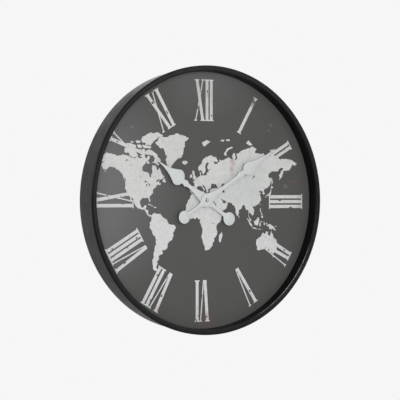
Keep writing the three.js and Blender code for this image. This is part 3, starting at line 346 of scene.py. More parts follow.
def dial_grey():
    """Dark grey satin print on the front of a fibreboard, with painted sheen towards the left and the top,
    and unprinted brown board behind.
    """
    finish = Finish("printed_fibreboard", colour=(0.077, 0.0758, 0.0735), roughness=0.4, gloss=0.08)
    printed = (0.0785, 0.0778, 0.0748)
    # Painted sheen and painted light: the grey is made lighter towards the left and along the top.
    for x, z, reach, share in DIAL_PAINTED_SHEEN:
        painted_sheen = finish.patch(x, z, reach, low=0.22, high=0.7, share=share)
        printed = finish.mix(painted_sheen, printed, (0.147, 0.1462, 0.151))
    clouds = finish.span(finish.noise(scale=11.0, detail=5.0), NOISE_LOW, NOISE_HIGH)
    printed = finish.tint(printed, clouds, 0.25, (0.088, 0.0872, 0.086))
    grain = finish.span(finish.noise(scale=260.0, detail=4.0), low=0.42, high=0.75)
    printed = finish.tint(printed, grain, 0.18, (0.092, 0.091, 0.089))
    streaks = finish.noise(scale=220.0, detail=5.0, stretch=(0.35, 1.0, 2.2))
    patchy = finish.span(streaks, low=0.4, high=0.6, first=0.35)
    for x, z, reach, colour, share in DIAL_MARKS:
        mark = finish.patch(x, z, reach, low=0.0, high=0.5, share=share)
        printed = finish.tint(printed, mark, patchy, colour)
    fibres = finish.noise(scale=240.0, detail=5.0, stretch=(1.0, 1.0, 0.18))
    board = finish.mix(fibres, (0.16, 0.088, 0.042), (0.36, 0.235, 0.13))
    chaff = finish.noise(scale=520.0, detail=2.0, stretch=(0.4, 1.0, 1.0))
    board = finish.mix(finish.span(chaff, low=0.6, high=0.72), board, (0.12, 0.062, 0.03))
    print_end, bare_from = (FRONT + (DIAL_FACE + depth) * MM for depth in PRINT_END)
    bare_board_and_highlight = finish.span(finish.along("Y"), print_end, bare_from)
    finish.colour(finish.mix(bare_board_and_highlight, printed, board))
    sheen = finish.span(finish.noise(scale=30.0, detail=4.0), NOISE_LOW, NOISE_HIGH, first=0.38, last=0.46)
    finish.roughness(finish.maths("MAXIMUM", sheen, finish.maths("MULTIPLY", bare_board_and_highlight, BARE_ROUGHNESS)))
    finish.relief(finish.noise(scale=420.0), depth=0.025)
    return finish.material


def worn_print(name, south, north, chips_from, chip_share, vein_share, stains):
    """Off-white print, thin and worn: mottled, chipped through to the grey, with rusty stains."""
    finish = Finish(name, colour=north, roughness=0.5, gloss=0.25)
    lowest, highest = (AXIS + height * MM for height in PRINT_DRIFT)
    base = finish.mix(finish.span(finish.along("Z"), lowest, highest), south, north)
    for x, z, reach, colour, share in DULL_PRINT:
        base = finish.mix(finish.patch(x, z, reach, low=0.0, high=0.6, share=share), base, colour)
    clouds = finish.span(finish.noise(scale=26.0, detail=5.0), low=0.34, high=0.68)
    base = finish.tint(base, clouds, 0.35, (0.5, 0.505, 0.497))
    grain = finish.span(finish.noise(scale=170.0, detail=6.0), low=0.45, high=0.72)
    base = finish.tint(base, grain, 0.3, (0.4, 0.4, 0.39))
    cracks = finish.span(finish.veins(scale=55.0, sway=14.0), low=0.0, high=0.045, first=1.0, last=0.0)
    base = finish.tint(base, cracks, vein_share, (0.3, 0.295, 0.29))
    chips = finish.span(finish.noise(scale=150.0, detail=7.0), low=chips_from, high=chips_from + 0.035)
    base = finish.tint(base, chips, chip_share, (0.09, 0.09, 0.088))
    scratches = finish.span(finish.noise(scale=90.0, stretch=(5.0, 1.0, 0.35)), low=0.68, high=0.72)
    base = finish.tint(base, scratches, 0.35, (0.2, 0.198, 0.19))
    runs = finish.noise(scale=150.0, detail=5.0, stretch=(1.0, 1.0, 0.5))
    rust = finish.span(runs, low=0.42, high=0.6, first=0.1, last=0.42)
    for x, z, reach in stains:
        base = finish.tint(base, finish.patch(x, z, reach, low=0.0, high=0.6), rust, (0.33, 0.16, 0.13))
    finish.colour(base)
    finish.roughness(finish.span(grain, low=0.0, high=1.0, first=0.42, last=0.6))
    finish.relief(finish.noise(scale=300.0, detail=4.0), depth=0.02)
    return finish.material


def hand_white():
    """Satin off-white paint on the hands, with a fine spray texture."""
    finish = Finish("hand_white_paint", colour=(0.62, 0.645, 0.645), roughness=0.4)
    paint = finish.mix(finish.noise(scale=60.0, detail=4.0), (0.545, 0.565, 0.562), (0.49, 0.512, 0.51))
    specks = finish.span(finish.noise(scale=700.0, detail=2.0), low=0.66, high=0.74)
    finish.colour(finish.tint(paint, specks, 0.35, (0.42, 0.43, 0.42)))
    finish.uneven(finish.noise(scale=120.0, detail=2.0), smooth=0.36, rough=0.46)
    finish.relief(finish.noise(scale=900.0, detail=2.0), depth=0.01)
    return finish.material


def plated(name, dark, bright, roughness, crystal=350.0, brush=EVEN):
    """A plated or turned metal, with crystals of slightly different tone and fine brushing."""
    finish = Finish(name, colour=bright, roughness=roughness, metallic=1.0)
    tones = finish.add("ShaderNodeRGBToBW")
    finish.join(finish.cells(crystal), tones.inputs[0])
    smudges = finish.noise(scale=130.0, detail=4.0)
    share = finish.maths("MULTIPLY", finish.maths("ADD", tones.outputs[0], smudges), 0.5)
    finish.colour(finish.mix(share, dark, bright))
    lines = finish.noise(scale=1500.0, detail=2.0, stretch=brush)
    finish.uneven(lines, smooth=roughness * 0.8, rough=roughness * 1.25)
    finish.relief(lines, depth=0.006)
    return finish.material


def moulded(name, dark, pale, roughness, grain=1800.0, depth=0.015):
    """Moulded plastic or rubber with an eroded skin, slight flow marks and a little dust."""
    finish = Finish(name, colour=pale, roughness=roughness)
    base = finish.mix(finish.noise(scale=70.0, detail=4.0), dark, pale)
    dust = finish.span(finish.noise(scale=1100.0, detail=1.0), low=0.72, high=0.8)
    dusty = tuple(min(1.0, value * 1.6 + 0.02) for value in pale)
    finish.colour(finish.tint(base, dust, 0.4, dusty))
    finish.uneven(finish.noise(scale=220.0), smooth=roughness * 0.88, rough=roughness * 1.12)
    finish.relief(finish.noise(scale=grain, detail=2.0), depth)
    return finish.material


def copper_winding():
    """Enamelled copper wire, wound close along the coil."""
    finish = Finish("copper_winding", colour=(0.52, 0.19, 0.07), roughness=0.32, metallic=1.0)
    turns = finish.bands(2600.0, "X")
    finish.colour(finish.mix(turns, (0.2, 0.06, 0.02), (0.62, 0.25, 0.1)))
    finish.uneven(finish.noise(scale=300.0), smooth=0.26, rough=0.4)
    finish.relief(turns, depth=0.06)
    return finish.material


def circuit_green():
    """Green circuit laminate with paler traces under the lacquer, which run across or upright by area."""
    finish = Finish("circuit_laminate", colour=(0.02, 0.12, 0.045), roughness=0.34)
    across = finish.span(finish.bands(170.0, "X"), low=0.62, high=0.7)
    upright = finish.span(finish.bands(140.0, "Z"), low=0.7, high=0.78)
    areas = finish.span(finish.noise(scale=120.0, detail=0.0), low=0.48, high=0.5)
    others = finish.maths("SUBTRACT", 1.0, areas)
    first = finish.maths("MULTIPLY", across, areas)
    second = finish.maths("MULTIPLY", upright, others)
    tracks = finish.maths("MAXIMUM", first, second)
    lacquer = finish.mix(finish.noise(scale=400.0), (0.014, 0.095, 0.034), (0.024, 0.13, 0.05))
    finish.colour(finish.mix(tracks, lacquer, (0.06, 0.22, 0.09)))
    finish.roughness(finish.span(tracks, low=0.0, high=1.0, first=0.38, last=0.28))
    finish.relief(tracks, depth=0.03)
    return finish.material


def cell_print():
    """Plain dark sleeve of the cell, with one pale band at its positive end."""
    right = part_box("battery")[1].x
    finish = Finish("cell_sleeve_film", colour=(0.03, 0.034, 0.04), roughness=0.28)
    band_from = right - CELL_BAND * MM
    band = finish.span(finish.along("X"), low=band_from, high=band_from + CELL_BAND_EDGE * MM)
    scuffs = finish.noise(scale=260.0, detail=4.0, stretch=(3.0, 1.0, 1.0))
    dark = finish.mix(scuffs, (0.022, 0.026, 0.032), (0.042, 0.047, 0.055))
    pale = finish.mix(scuffs, (0.36, 0.37, 0.38), (0.5, 0.51, 0.52))
    finish.colour(finish.mix(band, dark, pale))
    finish.uneven(scuffs, smooth=0.22, rough=0.36)
    finish.relief(finish.noise(scale=600.0, detail=2.0), depth=0.008)
    return finish.material


BLACK = satin_black()
# Black paint with a painted highlight on the lip's inner edge.
BLACK_PAINTED_HIGHLIGHT = highlight_edge_black()
DIAL = dial_grey()
MAP_PRINT = worn_print(
    "rubbed_map_print", south=(0.63, 0.632, 0.636), north=(0.585, 0.592, 0.572),
    chips_from=0.69, chip_share=0.45, vein_share=0.22, stains=MAP_STAINS)
NUMERAL_PRINT = worn_print(
    "rubbed_numeral_print", south=(0.6, 0.602, 0.606), north=(0.575, 0.58, 0.566),
    chips_from=0.65, chip_share=0.8, vein_share=0.05, stains=NUMERAL_STAINS)
HAND = hand_white()
ZINC = plated("zinc_plate", dark=(0.36, 0.375, 0.39), bright=(0.56, 0.575, 0.59), roughness=0.36)
BRASS = plated(
    "turned_brass", dark=(0.46, 0.3, 0.1), bright=(0.62, 0.44, 0.17), roughness=0.28,
    crystal=700.0, brush=(1.0, 0.1, 1.0))
NICKEL = plated(
    "nickel_plate", dark=(0.52, 0.52, 0.5), bright=(0.68, 0.68, 0.65), roughness=0.24, crystal=900.0)
DULL_NICKEL = plated(
    "dulled_nickel", dark=(0.32, 0.325, 0.31), bright=(0.5, 0.505, 0.49), roughness=0.26, crystal=900.0)
STEEL = plated(
    "bare_steel", dark=(0.3, 0.3, 0.305), bright=(0.46, 0.46, 0.465), roughness=0.34,
    crystal=500.0, brush=(0.1, 1.0, 1.0))
SHELL = moulded("moulded_black", dark=(0.012, 0.012, 0.013), pale=(0.019, 0.019, 0.02), roughness=0.5)
MARK = moulded("moulded_black_marks", dark=(0.03, 0.03, 0.031), pale=(0.042, 0.042, 0.043), roughness=0.38)
ACETAL = moulded(
    "natural_acetal", dark=(0.66, 0.64, 0.57), pale=(0.76, 0.74, 0.68), roughness=0.42,
    grain=1300.0, depth=0.008)
CHIP = moulded("black_resin", dark=grey(0.012), pale=grey(0.022), roughness=0.6, grain=2600.0, depth=0.01)
RUBBER = moulded(
    "black_rubber", dark=grey(0.01), pale=grey(0.017), roughness=0.82, grain=1100.0, depth=0.02)
FERRITE = moulded(
    "sintered_magnet", dark=(0.035, 0.035, 0.037), pale=(0.06, 0.06, 0.063), roughness=0.55,
    grain=2200.0, depth=0.02)
COPPER = copper_winding()
CIRCUIT = circuit_green()
CELL = cell_print()


# Making of pieces

SMOOTH_ANGLE = 35.0
EDGE_ANGLE = 40.0
EDGE_SEGMENTS = 2
FLAT_ANGLE = 1.0
CLOSED_RADIUS = 1e-6
MERGE = 1e-7
FILL_TOLERANCE = 1e-5


def linked(name, mesh):
    """A new object in the scene."""
    piece = bpy.data.objects.new(name, mesh)
    bpy.context.scene.collection.objects.link(piece)
    return piece


def smoothed(mesh):
    """Shades a mesh smooth, apart from its sharp edges."""
    mesh.shade_smooth()
    mesh.set_sharp_from_angle(angle=math.radians(SMOOTH_ANGLE))


def piece_from(name, shape, finishes):
    """A piece from a bmesh, with its finishes on."""
    mesh = bpy.data.meshes.new(name)
    shape.to_mesh(mesh)
    shape.free()
    for finish in finishes:
        mesh.materials.append(finish)
    smoothed(mesh)
    return linked(name, mesh)


def finished(name, shape, finishes):
    """A piece from a bmesh, with its faces outwards and its finishes on."""
    bmesh.ops.recalc_face_normals(shape, faces=shape.faces)
    return piece_from(name, shape, finishes)


def settle(piece):
    """Turns a piece with modifiers into a plain mesh."""
    graph = bpy.context.evaluated_depsgraph_get()
    mesh = bpy.data.meshes.new_from_object(piece.evaluated_get(graph))
    old = piece.data
    piece.modifiers.clear()
    piece.data = mesh
    bpy.data.meshes.remove(old)
    smoothed(mesh)
    return piece


def rounded(piece, width):
    """Breaks the sharp edges of a piece."""
    bevel = piece.modifiers.new("edge_break", "BEVEL")
    bevel.width = width * MM
    bevel.segments = EDGE_SEGMENTS
    bevel.limit_method = "ANGLE"
    bevel.angle_limit = math.radians(EDGE_ANGLE)
    return settle(piece)


def cut(piece, cutter):
    """Takes the cutter's shape out of a piece."""
    bpy.context.view_layer.update()
    boolean = piece.modifiers.new("cut", "BOOLEAN")
    boolean.operation = "DIFFERENCE"
    boolean.solver = "EXACT"
    boolean.object = cutter
    settle(piece)
    bpy.data.objects.remove(cutter)
    return piece


def joined(name, pieces, finishes):
    """One piece out of several that share the same finishes."""
    shape = bmesh.new()
    for piece in pieces:
        shape.from_mesh(piece.data)
        bpy.data.objects.remove(piece)
    return piece_from(name, shape, finishes)


def round_axis(x=0.0, z=0.0):
    """Places a turned point round an axis that runs from front to rear."""
    def at(radius, along, angle):
        return place(x + radius * math.sin(angle), along, z + radius * math.cos(angle))
    return at


def turned(name, outline, sides, at, finishes, parts=None):
    """A piece turned from a closed outline of radius and place along the axis."""
    shape = bmesh.new()
    rings = []
    for radius, along in outline:
        if radius < CLOSED_RADIUS:
            rings.append([shape.verts.new(at(0.0, along, 0.0))] * sides)
        else:
            rings.append([shape.verts.new(at(radius, along, TURN * k / sides)) for k in range(sides)])
    for row, first in enumerate(rings):
        second = rings[(row + 1) % len(rings)]
        for k in range(sides):
            corners = list(dict.fromkeys((first[k], first[k - 1], second[k - 1], second[k])))
            if len(corners) > 2:
                face = shape.faces.new(corners)
                face.material_index = parts[row] if parts else 0
    return finished(name, shape, finishes)


def swept_area(outline):
    """The area inside an outline, negative where it runs clockwise."""
    total = 0.0
    for first, second in zip(outline, outline[1:] + outline[:1]):
        total += first[0] * second[1] - second[0] * first[1]
    return total / 2


def anticlockwise(outline):
    """The outline in its own or the other direction."""
    return list(outline) if swept_area(outline) > 0 else list(reversed(outline))


def filled(outlines, keep):
    """Triangles inside overlapping outlines, where keep agrees with the set of outlines around them."""
    points = []
    loops = []
    for outline in outlines:
        loops.append(list(range(len(points), len(points) + len(outline))))
        points.extend(Vector(point) for point in anticlockwise(outline))
    found, _, triangles, _, _, owners = delaunay_2d_cdt(points, [], loops, 0, FILL_TOLERANCE)
    return found, [corners for corners, around in zip(triangles, owners) if keep(set(around))]


def slab(name, points, triangles, front, rear, finishes):
    """A flat plate between two depths, from triangles on the clock face."""
    shape = bmesh.new()
    used = sorted({corner for corners in triangles for corner in corners})
    fronts = {corner: shape.verts.new(place(points[corner].x, front, points[corner].y)) for corner in used}
    rears = {corner: shape.verts.new(place(points[corner].x, rear, points[corner].y)) for corner in used}
    sides = set()
    for corners in triangles:
        shape.faces.new([fronts[corner] for corner in corners])
        shape.faces.new([rears[corner] for corner in reversed(corners)])
        sides.update(zip(corners, corners[1:] + corners[:1]))
    for first, second in sorted(sides):
        if (second, first) not in sides:
            shape.faces.new([fronts[second], fronts[first], rears[first], rears[second]])
    return finished(name, shape, finishes)


def softened(name, node, width, finishes):
    """A copy of a node of the model with its edges broken."""
    shape = bmesh.new()
    shape.from_mesh(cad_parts[node].data)
    bmesh.ops.remove_doubles(shape, verts=shape.verts, dist=MERGE)
    flat = math.radians(FLAT_ANGLE)
    bmesh.ops.dissolve_limit(shape, angle_limit=flat, verts=shape.verts, edges=shape.edges)
    for face in shape.faces:
        face.material_index = 0
    return rounded(finished(name, shape, finishes), width)


def dress(node, finish):
    """Gives a node of the model, which keeps its shape, a finish."""
    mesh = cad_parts[node].data
    mesh.materials.clear()
    mesh.materials.append(finish)


def hand_in(piece, body, slot, *nodes):
    """Sets a finished piece on its body and hides the nodes that it stands for. The slot is not used."""
    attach(piece, body)
    if nodes:
        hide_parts(*nodes)


# Shapes that follow a rule

# The mark on the points of a section that carry the painted highlight.
HIGHLIT_MARK = "rubbed"


class ShapeTree:
    """A tree of geometry nodes with named inputs, which makes a piece out of a simple mesh."""

    def __init__(self, name, **inputs):
        self.tree = bpy.data.node_groups.new(name, "GeometryNodeTree")
        self.inputs = {}
        for label, kind in inputs.items():
            kind = "NodeSocket" + kind
            socket = self.tree.interface.new_socket(name=label, in_out="INPUT", socket_type=kind)
            self.inputs[label] = socket.identifier
        self.tree.interface.new_socket(name="result", in_out="OUTPUT", socket_type="NodeSocketGeometry")
        self.given = self.tree.nodes.new("NodeGroupInput").outputs

    def add(self, kind, values, **settings):
        """The first output of a new node, with its settings, and values or links on its inputs."""
        made = self.tree.nodes.new(kind)
        for name, setting in settings.items():
            setattr(made, name, setting)
        for label, value in values.items():
            if isinstance(value, bpy.types.NodeSocket):
                self.tree.links.new(value, made.inputs[label])
            else:
                made.inputs[label].default_value = value
        return made.outputs[0]

    def paint(self, shape):
        """The real mesh of a shape, with its finish on."""
        real = self.add("GeometryNodeRealizeInstances", {"Geometry": shape})
        return self.add("GeometryNodeSetMaterial", {"Geometry": real, "Material": self.given["finish"]})

    def end(self, shape):
        """Makes a shape the result of the tree."""
        result = self.tree.nodes.new("NodeGroupOutput").inputs[0]
        self.tree.links.new(shape, result)

    def run(self, piece, **values):
        """Makes a piece into what the tree gives for its mesh and some values."""
        modifier = piece.modifiers.new("shape", "NODES")
        modifier.node_group = self.tree
        for label, value in values.items():
            modifier[self.inputs[label]] = value
        return settle(piece)


def copies_tree():
    """Sets copies of a shape in a ring round an axis from front to rear."""
    tree = ShapeTree(
        "ring_of_copies", shape="Geometry", count="Int", first_angle="Float", axis="Vector",
        finish="Material")
    given = tree.given
    to_axis = tree.add("ShaderNodeVectorMath", {0: given["axis"], "Scale": -1.0}, operation="SCALE")
    centred = tree.add("GeometryNodeTransform", {"Geometry": given["shape"], "Translation": to_axis})
    points = tree.add("GeometryNodePoints", {"Count": given["count"], "Position": given["axis"]})
    index = tree.add("GeometryNodeInputIndex", {})
    step = tree.add("ShaderNodeMath", {0: TURN, 1: given["count"]}, operation="DIVIDE")
    steps_on = {0: index, 1: step, 2: given["first_angle"]}
    angle = tree.add("ShaderNodeMath", steps_on, operation="MULTIPLY_ADD")
    turn = tree.add("ShaderNodeCombineXYZ", {"Y": angle})
    spin = tree.add("FunctionNodeEulerToRotation", {0: turn})
    ring = {"Points": points, "Instance": centred, "Rotation": spin}
    tree.end(tree.paint(tree.add("GeometryNodeInstanceOnPoints", ring)))
    return tree


def rolled_tree():
    """Carries a closed section round the dial axis, with a second finish, holding a painted highlight,
    where its points are marked.
    """
    tree = ShapeTree(
        "rolled_ring", section="Geometry", radius="Float", sides="Int", axis="Vector", finish="Material",
        rubbed_finish="Material")
    given = tree.given
    section = tree.add("GeometryNodeMeshToCurve", {0: given["section"]})
    size = {"Resolution": given["sides"], "Radius": given["radius"]}
    path = tree.add("GeometryNodeCurvePrimitiveCircle", size)
    swept = tree.add("GeometryNodeCurveToMesh", {"Curve": path, "Profile Curve": section})
    upright = (TURN / 4, 0.0, 0.0)
    set_up = {"Geometry": swept, "Translation": given["axis"], "Rotation": upright}
    painted = tree.paint(tree.add("GeometryNodeTransform", set_up))
    # The points marked for the painted highlight get the second finish.
    rubbed = tree.add("GeometryNodeInputNamedAttribute", {"Name": HIGHLIT_MARK}, data_type="BOOLEAN")
    worn = {"Geometry": painted, "Selection": rubbed, "Material": given["rubbed_finish"]}
    tree.end(tree.add("GeometryNodeSetMaterial", worn))
    return tree


COPIES = copies_tree()
ROLLED = rolled_tree()


def ring_of(piece, count, first_angle, axis, finish):
    """Makes a piece into a ring of its own copies."""
    return COPIES.run(piece, count=count, first_angle=math.radians(first_angle), axis=axis, finish=finish)


def rolled(name, outline, sides, finish, rubbed_finish, rubbed=()):
    """A ring of sheet, rolled from a closed section of radius and depth, with a painted highlight on some
    of its points.
    """
    section = anticlockwise(outline)
    radius = section[0][0]
    count = len(section)
    mesh = bpy.data.meshes.new(name)
    points = [((reach - radius) * MM, depth * MM, 0.0) for reach, depth in section]
    mesh.from_pydata(points, [(k, (k + 1) % count) for k in range(count)], [])
    marks = mesh.attributes.new(HIGHLIT_MARK, "BOOLEAN", "POINT")
    marks.data.foreach_set("value", [point in rubbed for point in section])
    ring = ROLLED.run(
        linked(name, mesh), radius=radius * MM, sides=sides, axis=CENTRE, finish=finish,
        rubbed_finish=rubbed_finish)
    ring.data.attributes.remove(ring.data.attributes[HIGHLIT_MARK])
    return ring


# Case

CASE_SIDES = 256
BEND_STEPS = 8
SHEET = 1.2
RIM_RADIUS = cad_high.x / MM
LIP_BEND = 3.0
REVEAL_BEND = 3.0
REVEAL_RADIUS = 287.3
SKIRT = 5.5
BAND_FRONT, BAND_REAR = depths("case_band")
BAND_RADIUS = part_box("case_band")[1].x / MM
BAND_TAPER = 5.5
HEM_BEND = 1.5
HEM_RADIUS = 289.6


def bezel():
    """The lip, its skirt over the band and the reveal wall down to the dial, rolled from one sheet."""
    corner = (RIM_RADIUS - LIP_BEND, LIP_BEND)
    edge = (REVEAL_RADIUS + REVEAL_BEND, REVEAL_BEND)
    edge_bend = arc(edge, REVEAL_BEND, -90, -180, BEND_STEPS)
    middle = BEND_STEPS // 2
    # The middle points of the inner bend carry the painted highlight.
    rubbed = edge_bend[middle - 1:middle + 2]
    outline = [(RIM_RADIUS, SKIRT)]
    outline += arc(corner, LIP_BEND, 0, -90, BEND_STEPS)
    outline += edge_bend
    outline += [(REVEAL_RADIUS, DIAL_FACE), (REVEAL_RADIUS + SHEET, DIAL_FACE)]
    outline += arc(edge, REVEAL_BEND - SHEET, -180, -90, BEND_STEPS)
    outline += arc(corner, LIP_BEND - SHEET, -90, 0, BEND_STEPS)
    outline += [(RIM_RADIUS - SHEET, SKIRT)]
    return rolled("painted_bezel", outline, CASE_SIDES, BLACK, BLACK_PAINTED_HIGHLIGHT, rubbed)


def band():
    """The deep band behind the bezel, a little narrower at the rear, with its hem turned in."""
    slope = BAND_TAPER / (BAND_REAR - BAND_FRONT)
    rear_radius = BAND_RADIUS - BAND_TAPER
    inside = rear_radius - SHEET + slope * SHEET
    outline = [(BAND_RADIUS, BAND_FRONT)]
    outline += arc((rear_radius - HEM_BEND, BAND_REAR - HEM_BEND), HEM_BEND, 0, 90, BEND_STEPS)
    outline += [(HEM_RADIUS, BAND_REAR), (HEM_RADIUS, BAND_REAR - SHEET), (inside, BAND_REAR - SHEET)]
    outline += [(BAND_RADIUS - SHEET, BAND_FRONT)]
    return rolled("painted_band", outline, CASE_SIDES, BLACK, BLACK)


hand_in(bezel(), "case", "black_paint", "bezel_ring")
hand_in(band(), "case", "black_paint", "case_band")


# Dial print

MAP_MIDDLE = 16.5
MAP_DEGREE = 1.446
MAP_HEIGHT = 99.5
MAP_DROP = 49.7
MAP_TURN = 0.6
PROJECTION_STRETCH = 1.25
PROJECTION_SHARE = 0.4
COAST_STEP = 1.3
COAST_RAGGED = 0.11
COAST_LIMIT = 0.2
COAST_FULL = 400.0
DIAL_REACH = 287.0
DIAL_REACH_POINTS = 180
PRINT_SEED = 19
PRINT_THICKNESS = 0.12
PRINT_SUNK = 0.02

